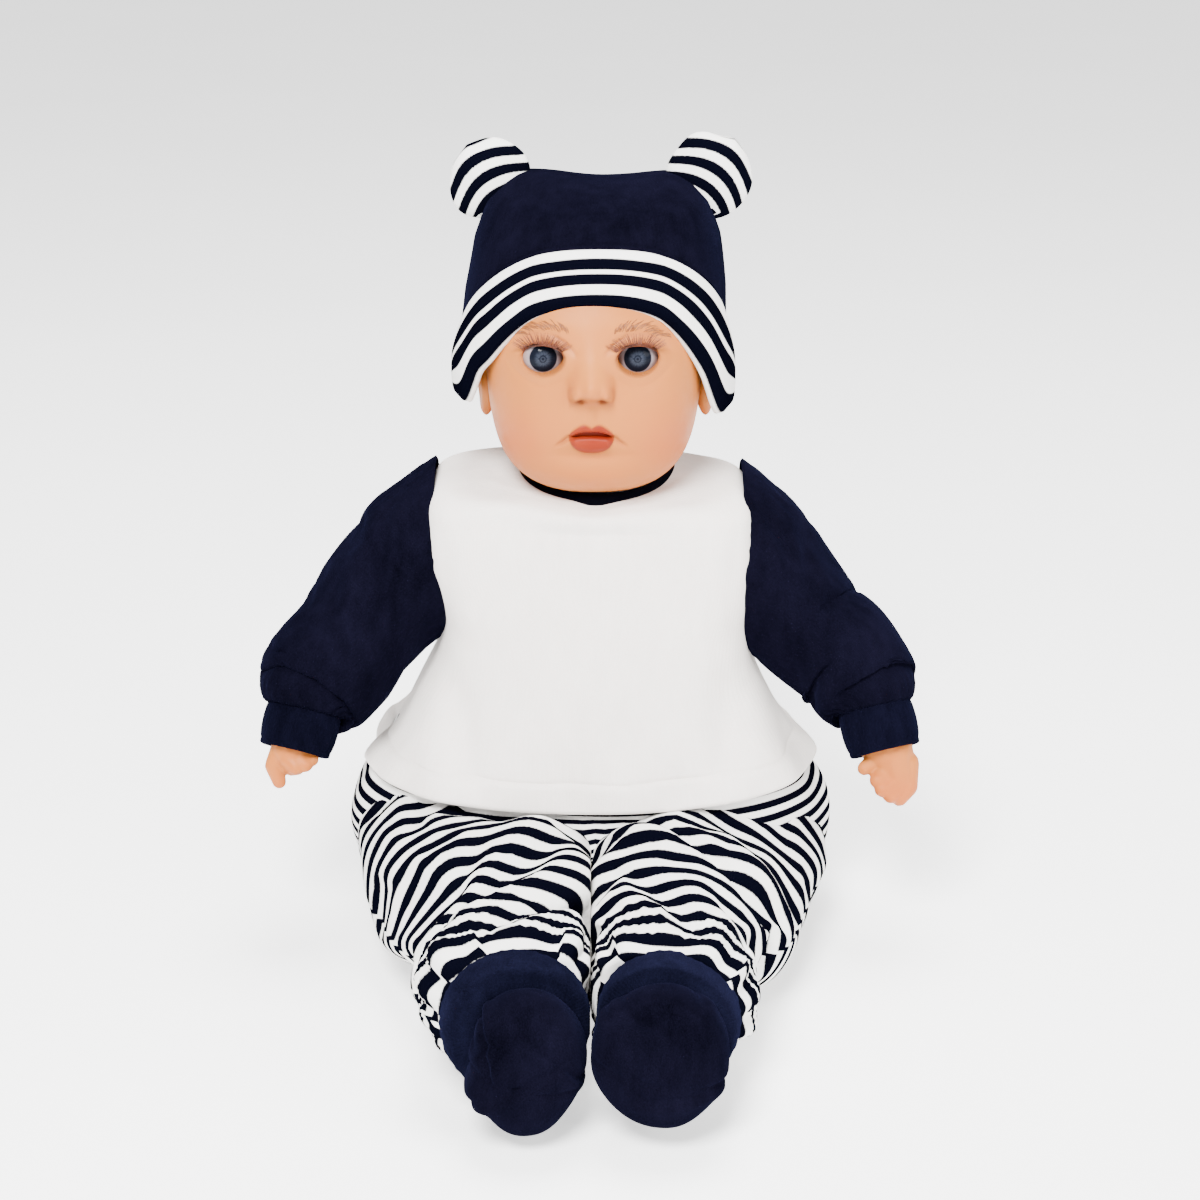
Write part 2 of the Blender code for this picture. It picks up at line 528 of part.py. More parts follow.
def make_cells():
    pieces = []
    cell_y = REAR_D - 0.0018 - CELL_R - 0.0002
    for k in range(3):
        way = Vector((1.0 if k % 2 == 0 else -1.0, 0, 0))
        foot = MODULE + Vector((0, cell_y, (k - 1) * CELL_PITCH)) - way * (CELL_L / 2 - 0.0022)
        top = foot + way * (CELL_L - 0.0012)
        cell = rod(f"battery_cell_{k + 1}", foot, top, CELL_R, CELL_JACKET, doll, sides=20)
        combine(cell, rod(f"cell_nub_{k + 1}", top - way * 0.001, top + way * 0.0012, 0.0027, sides=10), "UNION")
        points = []
        for step in range(25):
            angle = 2 * math.pi * step / 8
            points.append(foot - way * (0.0007 + 0.00014 * step)
                          + Vector((0, 0.0030 * math.cos(angle), 0.0030 * math.sin(angle))))
        pieces += [cell, wire(f"battery_spring_{k + 1}", points, 0.0003, STEEL, doll)]
    return pieces


def make_board_and_speaker():
    board = block("circuit_board", MODULE + Vector((-0.0300, -0.0055, -0.0270)),
                  MODULE + Vector((0.0300, -0.0040, 0.0270)), BOARD_GREEN, doll)
    combine(board, block("sound_chip", MODULE + Vector((-0.024, -0.0075, 0.012)),
                         MODULE + Vector((-0.014, -0.0050, 0.020))), "UNION")
    contact = MODULE + Vector((BUTTON_X, 0, 0))
    combine(board, rod("button_contact", contact + AHEAD * 0.0050, contact + AHEAD * 0.0070, 0.0035, sides=12),
            "UNION")
    speaker = MODULE + Vector((SPEAKER_X, 0, 0))
    combine(board, rod("magnet_window", speaker + AHEAD * 0.02, speaker + BEHIND * 0.01, 0.0086, sides=20))
    face = speaker + AHEAD * (FRONT_D - CASE_WALL - 0.0004)
    frame = rod("speaker_frame", face, face + BEHIND * 0.0050, 0.0130, STEEL, doll, 0.0082, sides=20)
    combine(frame, rod("speaker_magnet", face + BEHIND * 0.0044, face + BEHIND * 0.0096, 0.0075, sides=20),
            "UNION")
    combine(frame, rod("cone_room", face + AHEAD * 0.001, face + BEHIND * 0.0040, 0.0124, end_radius=0.0052,
                       sides=20))
    cone = rod("speaker_cone", face + BEHIND * 0.0001, face + BEHIND * 0.0034, 0.0106, CONE_PAPER, doll, 0.0044,
               sides=20)
    combine(cone, rod("cone_dish", face + AHEAD * 0.001, face + BEHIND * 0.0027, 0.0112, end_radius=0.0038,
                      sides=20))
    return [board, frame, cone]


def make_module():
    pieces = [make_front_case(), make_rear_case(), make_door(), *make_cells(), *make_board_and_speaker()]
    back = MODULE + Vector((0, REAR_D, 0))
    pieces.append(make_screw("battery_door_screw", back + UP * SCREW_Z, 0.0062))
    for k, x in enumerate((-0.0290, 0.0290)):
        pieces.append(make_screw(f"case_screw_{k + 1}", back + Vector((x, 0, -SCREW_Z)), 0.0080))
    front = MODULE + Vector((BUTTON_X, -FRONT_D, 0))
    button = rod("push_button", front + AHEAD * 0.0045, front + BEHIND * 0.0040, BUTTON_R, BUTTON_RED, doll,
                 sides=20)
    combine(button, rod("button_skirt", front + BEHIND * (CASE_WALL + 0.0003), front + BEHIND * 0.0040,
                        BUTTON_R + 0.0018, sides=20), "UNION")
    top = MODULE + Vector((SWITCH_X, REAR_D - 0.010, MODULE_H / 2))
    switch = block("power_switch", top + Vector((-0.0048, -0.0020, -0.0050)),
                   top + Vector((-0.0008, 0.0020, 0.0009)), CONE_PAPER, doll)
    for piece in (*pieces, button, switch):
        smooth(piece)
        piece.data.set_sharp_from_angle(angle=math.radians(35))
    return button, switch


# ---------------------------------------------------------------- arms
FOREARM_WAY = (WRIST - ELBOW).normalized()
FOREARM_ROOT = ELBOW + FOREARM_WAY * 0.004
CUFF_START = WRIST - FOREARM_WAY * 0.0150
CUFF_END = WRIST + FOREARM_WAY * 0.0055
UPPER_ARM, MID_ARM = Vector((0.1010, -0.010, 0.1760)), Vector((0.1190, -0.020, 0.1610))


def make_arm(side_name, side):
    plane = block(f"seam_plane_{side_name}", *sorted_corners((-0.09 * side, -0.2, 0.0), (SHOULDER_X * side, 0.2, 0.4)))
    shoulder = Vector((SHOULDER_X, 0, SHOULDER_Z))
    inside = shoulder - Vector((0.022, 0, -0.001))
    stuffing = limb(f"arm_stuffing_{side_name}",
                    [(inside, 0.028, 0.030), (shoulder, 0.028, 0.030), (UPPER_ARM, 0.0260, 0.0280),
                     (MID_ARM, 0.0240, 0.0250), (ELBOW - FOREARM_WAY * 0.002, 0.0190, 0.0190),
                     (FOREARM_ROOT, 0.0158, 0.0158), (FOREARM_ROOT + FOREARM_WAY * 0.0060, 0.0152, 0.0152)],
                    BEHIND, STUFFING, doll, side=side)
    combine(stuffing, plane)
    combine(stuffing, rod(f"forearm_socket_{side_name}", mirrored(FOREARM_ROOT - FOREARM_WAY * 0.0005, side),
                          mirrored(FOREARM_ROOT + FOREARM_WAY * 0.03, side), FOREARM_R + 0.0006, sides=20))
    way = mirrored(FOREARM_WAY, side)
    tie = ring(f"arm_tie_{side_name}", mirrored(FOREARM_ROOT + FOREARM_WAY * 0.0022, side), way, 0.0170, 0.0182,
               0.0032, NYLON, doll)
    sleeve = limb(f"sleeve_{side_name}",
                  [(inside, 0.0400, 0.0435), (shoulder, 0.0405, 0.0430), (UPPER_ARM, 0.0370, 0.0380),
                   (MID_ARM, 0.0330, 0.0330), (ELBOW, 0.0290, 0.0290),
                   (CUFF_START - FOREARM_WAY * 0.0090, 0.0250, 0.0250),
                   (CUFF_START - FOREARM_WAY * 0.0006, 0.0195, 0.0195)],
                  BEHIND, NAVY, doll, CLOTH_WALL, sides=20, side=side)
    combine(sleeve, plane)
    cuff = ring(f"cuff_{side_name}", mirrored(CUFF_START, side), way, 0.0152, 0.0188,
                (CUFF_END - CUFF_START).length, NAVY, doll)
    forearm = make_forearm(side_name, side)
    for piece in (stuffing, tie, sleeve, cuff, forearm):
        smooth(piece)
    return [stuffing, tie, sleeve, cuff], forearm


def make_forearm(side_name, side):
    """Vinyl forearm with a plain hand: palm, curled fingers and thumb."""
    heel = WRIST + FOREARM_WAY * 0.0100
    forearm = limb(f"forearm_{side_name}",
                   [(FOREARM_ROOT, FOREARM_R, FOREARM_R), (between(FOREARM_ROOT, WRIST, 0.5), 0.0130, 0.0130),
                    (WRIST, 0.0115, 0.0115), (WRIST + FOREARM_WAY * 0.0160, 0.0100, 0.0100)],
                   BEHIND, VINYL, doll, side=side)
    palm = ball(f"palm_{side_name}", mirrored(heel + FOREARM_WAY * 0.0040, side), (0.0125, 0.0115, 0.0125),
                segments=14, rings=10)
    combine(forearm, palm, "UNION")
    inward = Vector((-1, 0, 0))
    knuckle = heel + FOREARM_WAY * 0.0040
    for k in range(4):
        root = knuckle + inward * (0.0068 - 0.0047 * k)
        bend, tip = root + FOREARM_WAY * 0.0075, root + FOREARM_WAY * 0.0130 + inward * 0.0020
        finger = limb(f"finger_{side_name}_{k}", [(root, 0.0050, 0.0050), (bend, 0.0047, 0.0047),
                                                  (tip, 0.0034, 0.0034)], BEHIND, sides=8, side=side)
        combine(forearm, finger, "UNION")
    thumb_tip = heel + inward * 0.0155 + FOREARM_WAY * 0.0080
    thumb = limb(f"thumb_{side_name}", [(heel - FOREARM_WAY * 0.003, 0.0055, 0.0055),
                                        (between(heel, thumb_tip, 0.6), 0.0048, 0.0048),
                                        (thumb_tip, 0.0036, 0.0036)], BEHIND, sides=8, side=side)
    combine(forearm, thumb, "UNION")
    return forearm


# ---------------------------------------------------------------- legs
KNEE = Vector((0.0470, -0.1150, 0.0370))
CALF = Vector((0.0392, -0.1850, 0.0330))
ANKLE = Vector((0.0345, -0.2330, 0.0440))
FOOT = Vector((0.0298, -0.2600, 0.0398))
FOOT_R = Vector((0.0286, 0.0235, 0.0385))
SIDEWAYS = Vector((1, 0, 0))


def make_leg(side_name, side):
    hip = Vector((HIP_X, HIP.y, HIP.z))
    trousers = limb(f"trousers_leg_{side_name}",
                    [(hip + BEHIND * 0.022, 0.0470, 0.0345), (hip + BEHIND * 0.010, 0.0480, 0.0392),
                     (hip, 0.0480, THIGH_R),
                     (hip + AHEAD * 0.030, 0.0475, 0.0400), ((0.0560, -0.0750, 0.0395), 0.0455, 0.0385),
                     (KNEE, 0.0452, 0.0362), (CALF, 0.0380, 0.0315), (ANKLE + BEHIND * 0.008, 0.0325, 0.0305)],
                    SIDEWAYS, STRIPED, doll, CLOTH_WALL, sides=20, side=side)
    shin = (ANKLE - CALF).normalized()
    root = CALF + shin * 0.0040
    sock = CALF + shin * 0.0140
    stuffing = limb(f"leg_stuffing_{side_name}",
                    [(hip + BEHIND * 0.0300, 0.0300, 0.0200), (hip + BEHIND * 0.0200, 0.0400, 0.0300),
                     (hip + BEHIND * 0.010, 0.0430, 0.0350), (hip, 0.0440, 0.0370), (hip + AHEAD * 0.030, 0.0435, 0.0370),
                     ((0.0560, -0.0750, 0.0395), 0.0420, 0.0350), (KNEE, 0.0415, 0.0330),
                     (CALF, 0.0310, 0.0270), (sock, 0.0230, 0.0230)],
                    SIDEWAYS, STUFFING, doll, sides=18, side=side)
    combine(stuffing, rod(f"shin_socket_{side_name}", mirrored(root - shin * 0.0006, side),
                          mirrored(ANKLE, side), 0.0196, sides=20))
    way = mirrored(shin, side)
    tie = ring(f"leg_tie_{side_name}", mirrored(sock + shin * 0.0012, side), way, 0.0200, 0.0222, 0.0036, NYLON,
               doll)
    lower = limb(f"lower_leg_{side_name}",
                 [(root, 0.0190, 0.0190), (between(root, ANKLE, 0.5), 0.0190, 0.0190),
                  (ANKLE, 0.0215, 0.0205), (between(ANKLE, FOOT, 0.7), 0.0180, 0.0180)],
                 SIDEWAYS, VINYL, doll, side=side)
    skin = Vector((0.0032,) * 3)
    combine(lower, ball(f"foot_form_{side_name}", mirrored(FOOT, side), FOOT_R - skin, segments=14, rings=10),
            "UNION")
    top = ANKLE - shin * 0.0060
    bootie = ball(f"bootie_{side_name}", mirrored(FOOT, side), FOOT_R, NAVY, doll, segments=18, rings=12)
    combine(bootie, limb(f"ankle_band_{side_name}", [(top, 0.0290, 0.0280), (ANKLE, 0.0290, 0.0280),
                                                     (between(ANKLE, FOOT, 0.8), 0.0262, 0.0262)],
                         SIDEWAYS, sides=20, side=side), "UNION")
    combine(bootie, ball(f"bootie_inside_{side_name}", mirrored(FOOT, side), FOOT_R - skin * 0.75, segments=16,
                         rings=10))
    combine(bootie, limb(f"ankle_bore_{side_name}", [(CALF, 0.0262, 0.0252), (ANKLE, 0.0262, 0.0252),
                                                     (between(ANKLE, FOOT, 0.8), 0.0225, 0.0225)],
                         SIDEWAYS, sides=20, side=side))
    for piece in (trousers, stuffing, tie, lower, bootie):
        smooth(piece)
    return [trousers, stuffing, tie, lower, bootie]


# ---------------------------------------------------------------- assembly
def main():
    head_pieces = [make_head()]
    eyes = {}
    for side_name, side in SIDES:
        eyes[side_name], cup = make_eye(side_name, side)
        head_pieces.append(cup)
    hat_pieces = make_hat()
    neck_pieces = make_neck()
    make_torso()
    make_bodice()
    make_trouser_seat()
    button, switch = make_module()
    hinge_empty("nod_axis", NECK, neck_pieces)
    hinge_empty("neck_axis", NECK, head_pieces)
    hinge_empty("hat_axis", NECK, hat_pieces)
    hinge_empty("button_axis", MODULE + Vector((BUTTON_X, 0, 0)), [button])
    hinge_empty("switch_axis", MODULE + Vector((SWITCH_X, 0, 0)), [switch])
    for side_name, side in SIDES:
        hinge_empty(f"eye_axis_{side_name}", (side * EYE_X, EYE_Y, EYE_Z), eyes[side_name])
        arm, forearm = make_arm(side_name, side)
        hinge_empty(f"shoulder_axis_{side_name}", (side * SHOULDER_X, 0, SHOULDER_Z), arm)
        hinge_empty(f"forearm_axis_{side_name}", mirrored(ELBOW, side), [forearm])
        hinge_empty(f"hip_axis_{side_name}", (side * HIP_X, HIP.y, HIP.z), make_leg(side_name, side))


main()
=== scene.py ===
"""Looks of the interactive baby doll: vinyl head and limbs, sleeping eyes and a velour outfit, built round
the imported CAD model. Metres, +Z up, the doll faces -Y."""
import json
import math
import random

import bmesh
import bpy
import numpy as np
from mathutils import Matrix, Vector
from mathutils.bvhtree import BVHTree


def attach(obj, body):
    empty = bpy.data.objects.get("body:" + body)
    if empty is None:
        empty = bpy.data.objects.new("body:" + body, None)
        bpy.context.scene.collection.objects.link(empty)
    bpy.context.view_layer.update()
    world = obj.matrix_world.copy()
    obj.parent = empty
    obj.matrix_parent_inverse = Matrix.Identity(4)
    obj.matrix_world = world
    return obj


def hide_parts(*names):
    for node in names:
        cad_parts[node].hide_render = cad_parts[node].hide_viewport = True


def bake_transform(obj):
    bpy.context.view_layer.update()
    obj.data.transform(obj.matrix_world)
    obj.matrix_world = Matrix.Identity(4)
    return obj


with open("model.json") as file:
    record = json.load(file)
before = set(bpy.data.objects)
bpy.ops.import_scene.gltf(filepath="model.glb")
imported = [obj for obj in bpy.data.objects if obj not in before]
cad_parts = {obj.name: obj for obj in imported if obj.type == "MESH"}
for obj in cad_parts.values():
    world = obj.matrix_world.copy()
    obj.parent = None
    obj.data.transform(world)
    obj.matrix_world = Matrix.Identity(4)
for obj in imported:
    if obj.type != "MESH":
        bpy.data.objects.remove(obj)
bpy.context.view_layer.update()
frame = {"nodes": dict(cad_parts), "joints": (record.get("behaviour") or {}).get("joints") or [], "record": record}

NODES = frame["nodes"]
JOINTS = {joint["name"]: joint for joint in frame["joints"]}
SIDES = (("left", 1.0), ("right", -1.0))
random.seed(7)


# ================================================================ camera, light and floor
VIEW_TILT = math.radians(18)
VIEW_CENTRE = Vector((0.005, 0.0, 0.162))
VIEW_DISTANCE = 1.5
FLOOR_SIZE, FLOOR_DROP = 12.0, 0.0005
PAPER_GLOW, AIR_GLOW = 1.02, 0.82
# each light: name, place, target, width in metres, power in watts
LIGHTS = (("key", (-0.35, -1.6, 1.7), (0, 0, 0.15), 0.8, 178),
          ("fill", (1.5, -1.2, 0.9), (0, 0, 0.15), 1.2, 40),
          ("top", (0.1, 0.3, 1.9), (0, -0.05, 0.1), 1.0, 62))


def linked(name, data):
    """A new object in the scene that holds the data."""
    obj = bpy.data.objects.new(name, data)
    bpy.context.scene.collection.objects.link(obj)
    return obj


def make_camera():
    camera = linked("camera", bpy.data.cameras.new("camera"))
    camera.data.lens, camera.data.sensor_width, camera.data.clip_start = 90.0, 36.0, 0.02
    towards = Vector((0, -math.cos(VIEW_TILT), math.sin(VIEW_TILT)))
    camera.location = VIEW_CENTRE + towards * VIEW_DISTANCE
    camera.rotation_euler = (-towards).to_track_quat("-Z", "Y").to_euler()
    bpy.context.scene.camera = camera


def make_light(name, place, target, size, power):
    light = bpy.data.lights.new(name, "AREA")
    light.shape, light.size, light.energy = "DISK", size, power
    lamp = linked(name, light)
    lamp.location = place
    lamp.rotation_euler = (Vector(target) - Vector(place)).to_track_quat("-Z", "Y").to_euler()


def make_studio():
    bpy.ops.mesh.primitive_plane_add(size=FLOOR_SIZE, location=(0, 0, -FLOOR_DROP))
    floor = bpy.context.object
    floor.name = "studio_floor"
    paper = Shader("studio_paper", roughness=0.9, specular=0.1)
    paper.set("Base Color", paper.noise_mix((0.90, 0.90, 0.90), (0.93, 0.93, 0.93), 3.0))
    paper.principled.inputs["Emission Color"].default_value = (1.0, 1.0, 1.0, 1.0)
    paper.principled.inputs["Emission Strength"].default_value = PAPER_GLOW
    floor.data.materials.append(paper.material)
    world = bpy.data.worlds.new("studio_air")
    world.use_nodes = True
    air = world.node_tree.nodes["Background"]
    air.inputs["Color"].default_value = (1.0, 1.0, 1.0, 1.0)
    air.inputs["Strength"].default_value = AIR_GLOW
    bpy.context.scene.world = world
    for light in LIGHTS:
        make_light(*light)


# ================================================================ materials
class Shader:
    """A Principled material with short calls for the procedural nodes that feed it."""

    def __init__(self, name, roughness=0.6, metallic=0.0, specular=0.5, sheen=0.0, sheen_tint=(1, 1, 1),
                 subsurface=0.0):
        self.material = bpy.data.materials.new(name)
        self.material.use_nodes = True
        self.tree = self.material.node_tree
        self.principled = self.tree.nodes["Principled BSDF"]
        for socket, value in (("Roughness", roughness), ("Metallic", metallic),
                              ("Specular IOR Level", specular), ("Sheen Weight", sheen),
                              ("Sheen Roughness", 0.45), ("Sheen Tint", (*sheen_tint, 1.0)),
                              ("Subsurface Weight", subsurface)):
            self.principled.inputs[socket].default_value = value

    def node(self, kind, **inputs):
        made = self.tree.nodes.new(kind)
        for key, value in inputs.items():
            self.feed(made.inputs[key.replace("_", " ")], value)
        return made

    def feed(self, socket, value):
        if isinstance(value, bpy.types.NodeSocket):
            self.tree.links.new(value, socket)
        elif isinstance(value, tuple) and len(value) == 3 and socket.type == "RGBA":
            socket.default_value = (*value, 1.0)
        else:
            socket.default_value = value

    def set(self, name, value):
        self.feed(self.principled.inputs[name], value)

    def position(self):
        return self.node("ShaderNodeTexCoord").outputs["Object"]

    def uv(self):
        return self.node("ShaderNodeTexCoord").outputs["UV"]

    def stretched(self, scale):
        mapping = self.node("ShaderNodeMapping", Vector=self.position(), Scale=Vector(scale))
        return mapping.outputs["Vector"]

    def noise(self, scale, detail=2.0, source=None):
        made = self.node("ShaderNodeTexNoise", Vector=source or self.position(), Scale=scale, Detail=detail)
        return made.outputs["Fac"]

    def maths(self, operation, first, second=0.5):
        made = self.tree.nodes.new("ShaderNodeMath")
        made.operation = operation
        self.feed(made.inputs[0], first)
        self.feed(made.inputs[1], second)
        return made.outputs[0]

    def mix(self, share, first, second):
        made = self.tree.nodes.new("ShaderNodeMix")
        made.data_type = "RGBA"
        self.feed(made.inputs["Factor"], share)
        self.feed(made.inputs["A"], first)
        self.feed(made.inputs["B"], second)
        return made.outputs["Result"]

    def span(self, value, low, high, to_low=0.0, to_high=1.0):
        made = self.tree.nodes.new("ShaderNodeMapRange")
        for index, number in enumerate((value, low, high, to_low, to_high)):
            self.feed(made.inputs[index], number)
        return made.outputs[0]

    def noise_mix(self, first, second, scale, detail=2.0):
        return self.mix(self.span(self.noise(scale, detail), 0.35, 0.65), first, second)

    def attribute(self, name, output="Color"):
        made = self.tree.nodes.new("ShaderNodeAttribute")
        made.attribute_name = name
        return made.outputs[output]

    def bump(self, *layers):
        """Each layer is (height socket, distance in metres, strength)."""
        normal = None
        for height, distance, strength in layers:
            made = self.node("ShaderNodeBump", Height=height, Distance=distance, Strength=strength)
            if normal is not None:
                self.feed(made.inputs["Normal"], normal)
            normal = made.outputs["Normal"]
        self.set("Normal", normal)
        return self


SKIN = (0.40, 0.132, 0.026)
BLUSH = (0.40, 0.074, 0.018)
LIP = (0.155, 0.0040, 0.0006)
LIP_DARK = (0.11, 0.0050, 0.0022)
NAVY_DARK, NAVY_LIT = (0.0004, 0.0004, 0.0010), (0.0038, 0.0034, 0.0092)
INK = (0.0010, 0.0011, 0.0032)
CREAM = (0.80, 0.785, 0.76)
NIGHT_BLUE = (0.30, 0.34, 1.0)
STRIPE_REPEAT = 0.0128
# the repeat in metres, and the share of it that is dark
STRIPES, EAR_STRIPES = (STRIPE_REPEAT, 0.54), (0.0094, 0.56)
# start and end of each dark band, as shares of the brim's height
BRIM_BANDS = [(0.140, 0.345), (0.425, 0.635), (0.825, 1.005)]


def skin_material(name, painted):
    """Soft vinyl: a satin surface with a little depth, faint mottling and, where painted, sprayed colour together
    with painted shade.
    """
    skin = Shader(name, roughness=0.46, specular=0.12, subsurface=0.12)
    skin.principled.inputs["Subsurface Radius"].default_value = (1.0, 0.35, 0.18)
    skin.principled.inputs["Subsurface Scale"].default_value = 0.0022
    base = skin.attribute("paint") if painted else SKIN
    mottled = skin.mix(skin.span(skin.noise(60.0, 3.0), 0.3, 0.7, 0.0, 0.10), base, BLUSH)
    skin.set("Base Color", mottled)
    skin.set("Roughness", skin.span(skin.noise(220.0, 2.0), 0.3, 0.7, 0.42, 0.52))
    return skin.bump((skin.noise(900.0, 2.0), 0.00006, 0.35)).material


def velour(name, dark, lit, colour=None, sheen=0.0, sheen_tint=NIGHT_BLUE, pile=0.00035):
    """Cut-pile knit: crushed patches, a fine pile and faint wales that run along the piece."""
    cloth = Shader(name, roughness=0.92, specular=0.0, sheen=sheen, sheen_tint=sheen_tint)
    crushed = cloth.span(cloth.noise(24.0, 2.0), 0.30, 0.72)
    brushed = cloth.span(cloth.noise(150.0, 3.0, cloth.stretched((1.0, 1.0, 0.35))), 0.30, 0.72)
    speckle = cloth.span(cloth.noise(2600.0, 2.0), 0.35, 0.7)
    shade = cloth.maths("ADD", cloth.maths("MULTIPLY", crushed, 0.30), cloth.maths("MULTIPLY", speckle, 0.45))
    shade = cloth.maths("ADD", shade, cloth.maths("MULTIPLY", brushed, 0.25))
    base = cloth.mix(shade, dark, lit) if colour is None else colour(cloth, shade)
    cloth.set("Base Color", base)
    wales = cloth.node("ShaderNodeTexWave", Vector=cloth.uv(), Scale=170.0, Distortion=0.6, Detail=2.0)
    return cloth.bump((cloth.noise(2100.0, 2.0), pile, 0.55), (cloth.noise(420.0, 3.0), 0.0006, 0.30),
                      (wales.outputs["Fac"], 0.00022, 0.30)).material


def band(cloth, place, middle, half, soft):
    """1 within half of the middle, with soft edges."""
    distance = cloth.maths("ABSOLUTE", cloth.maths("SUBTRACT", place, middle), 0.0)
    return cloth.span(distance, half - soft, half + soft, 1.0, 0.0)


def striped_velour(name, edges, phase=0.0, wobble=0.00045):
    """Velour with dark and light bands by the V coordinate. `edges` is the repeat and the dark share, or a
    list of (start, end) of the dark bands along 0 to 1."""
    def paint(cloth, shade):
        along = cloth.node("ShaderNodeSeparateXYZ", Vector=cloth.uv()).outputs["Y"]
        jitter = cloth.span(cloth.noise(900.0, 2.0, cloth.uv()), 0.0, 1.0, -wobble, wobble)
        along = cloth.maths("ADD", along, jitter)
        if isinstance(edges, tuple):
            repeat, dark_share = edges
            turn = cloth.maths("FRACT", cloth.maths("DIVIDE", cloth.maths("ADD", along, phase), repeat), 0.0)
            ink = band(cloth, turn, 0.5, dark_share / 2, 0.030)
        else:
            bands = [band(cloth, along, (first + last) / 2, (last - first) / 2, 0.008)
                     for first, last in edges]
            ink = bands[0]
            for other in bands[1:]:
                ink = cloth.maths("MAXIMUM", ink, other)
        light = cloth.mix(cloth.span(shade, 0.0, 1.0, 0.0, 0.5), CREAM, (0.70, 0.69, 0.68))
        return cloth.mix(ink, light, INK)
    return velour(name, None, None, paint)


MATERIALS = {}


def make_materials():
    MATERIALS.update({
        "skin": skin_material("painted_vinyl", True),
        "skin_plain": skin_material("plain_vinyl", False),
        "navy": velour("navy_velour", NAVY_DARK, NAVY_LIT, sheen=0.012),
        "white": velour("white_velour", (0.70, 0.648, 0.612), (0.85, 0.795, 0.755), sheen=0.10,
                        sheen_tint=(1, 1, 1), pile=0.00028),
        "brim": striped_velour("brim_velour", BRIM_BANDS, wobble=0.006),
        "stripes": striped_velour("striped_velour", STRIPES),
        "ear_stripes": striped_velour("ear_velour", EAR_STRIPES, phase=-0.0012),
        "navy_rib": velour("navy_rib_knit", NAVY_DARK, (0.0062, 0.0066, 0.0190), sheen=0.015),
        "cuff": velour("cuff_rib_knit", NAVY_DARK, (0.0036, 0.0036, 0.0105), sheen=0.015),
        "binding": velour("binding_knit", (0.0010, 0.0010, 0.0022), (0.0020, 0.0020, 0.0042), sheen=0.005,
                          sheen_tint=(0.6, 0.65, 1.0)),
    })


# ================================================================ mesh helpers
def finished(obj, material, body=None, instead_of=()):
    obj.data.materials.clear()
    obj.data.materials.append(MATERIALS[material] if isinstance(material, str) else material)
    if instead_of:
        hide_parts(*instead_of)
    if body:
        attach(obj, body)
    return obj


def rings_to_mesh(name, points, uv=None, capped=False):
    """A smooth surface through rings of points, an array (rings, columns, 3). uv is an array
    (rings, columns + 1, 2). `capped` closes both ends."""
    rows, columns = points.shape[:2]
    faces, corners = [], []
    for r in range(rows - 1):
        for c in range(columns):
            d = (c + 1) % columns
            faces.append((r * columns + c, r * columns + d, (r + 1) * columns + d, (r + 1) * columns + c))
            corners.append(((r, c), (r, c + 1), (r + 1, c + 1), (r + 1, c)))
    if capped:
        faces.append(tuple(range(columns - 1, -1, -1)))
        corners.append(tuple((0, c) for c in range(columns - 1, -1, -1)))
        last = (rows - 1) * columns
        faces.append(tuple(last + c for c in range(columns)))
        corners.append(tuple((rows - 1, c) for c in range(columns)))
    mesh = bpy.data.meshes.new(name)
    mesh.from_pydata(points.reshape(-1, 3).tolist(), [], faces)
    if uv is not None:
        layer = mesh.uv_layers.new(name="UVMap")
        flat = [tuple(uv[r, c]) for face in corners for r, c in face]
        layer.data.foreach_set("uv", np.array(flat, np.float32).ravel())
    mesh.shade_smooth()
    return linked(name, mesh)


def apply_modifiers(obj):
    """Replaces the mesh with its modified self, so that no modifier is left."""
    bpy.context.view_layer.update()
    evaluated = obj.evaluated_get(bpy.context.evaluated_depsgraph_get())
    mesh = bpy.data.meshes.new_from_object(evaluated, preserve_all_data_layers=True,
                                           depsgraph=bpy.context.evaluated_depsgraph_get())
    old = obj.data
    obj.modifiers.clear()
    obj.data = mesh
    bpy.data.meshes.remove(old)
    return obj


def thicken(obj, wall):
    """Gives a cloth its wall, inwards from the surface."""
    solid = obj.modifiers.new("thickness", "SOLIDIFY")
    solid.thickness, solid.offset = wall, -1.0
    return apply_modifiers(obj)


def recalculate(obj, merge_distance=0.0):
    """Turns the faces outwards, after merging the points that lie within merge_distance of each other."""
    bm = bmesh.new()
    bm.from_mesh(obj.data)
    if merge_distance:
        bmesh.ops.remove_doubles(bm, verts=bm.verts, dist=merge_distance)
    bmesh.ops.recalc_face_normals(bm, faces=bm.faces)
    bm.to_mesh(obj.data)
    bm.free()


def coordinates(obj):
    values = np.empty(len(obj.data.vertices) * 3)
    obj.data.vertices.foreach_get("co", values)
    return values.reshape(-1, 3)


def set_coordinates(obj, values):
    obj.data.vertices.foreach_set("co", np.asarray(values, np.float32).ravel())
    obj.data.update()


def ease(value, low, high):
    """0 below low, 1 above high, and a smooth step between."""
    share = np.clip((value - low) / (high - low), 0.0, 1.0)
    return share * share * (3 - 2 * share)


def bell(value, width, power=2):
    return np.exp(-0.5 * (value / width) ** power)


def hill(x, z, width, height):
    return np.exp(-0.5 * ((x / width) ** 2 + (z / height) ** 2))


def round_angles(columns):
    return np.linspace(0, 2 * math.pi, columns, endpoint=False)


def superellipse(angles, power):
    """Across and along of a squared-off circle. power is 2 over its squareness."""
    across = np.sign(np.cos(angles)) * np.abs(np.cos(angles)) ** power
    along = np.sign(np.sin(angles)) * np.abs(np.sin(angles)) ** power
    return across, along


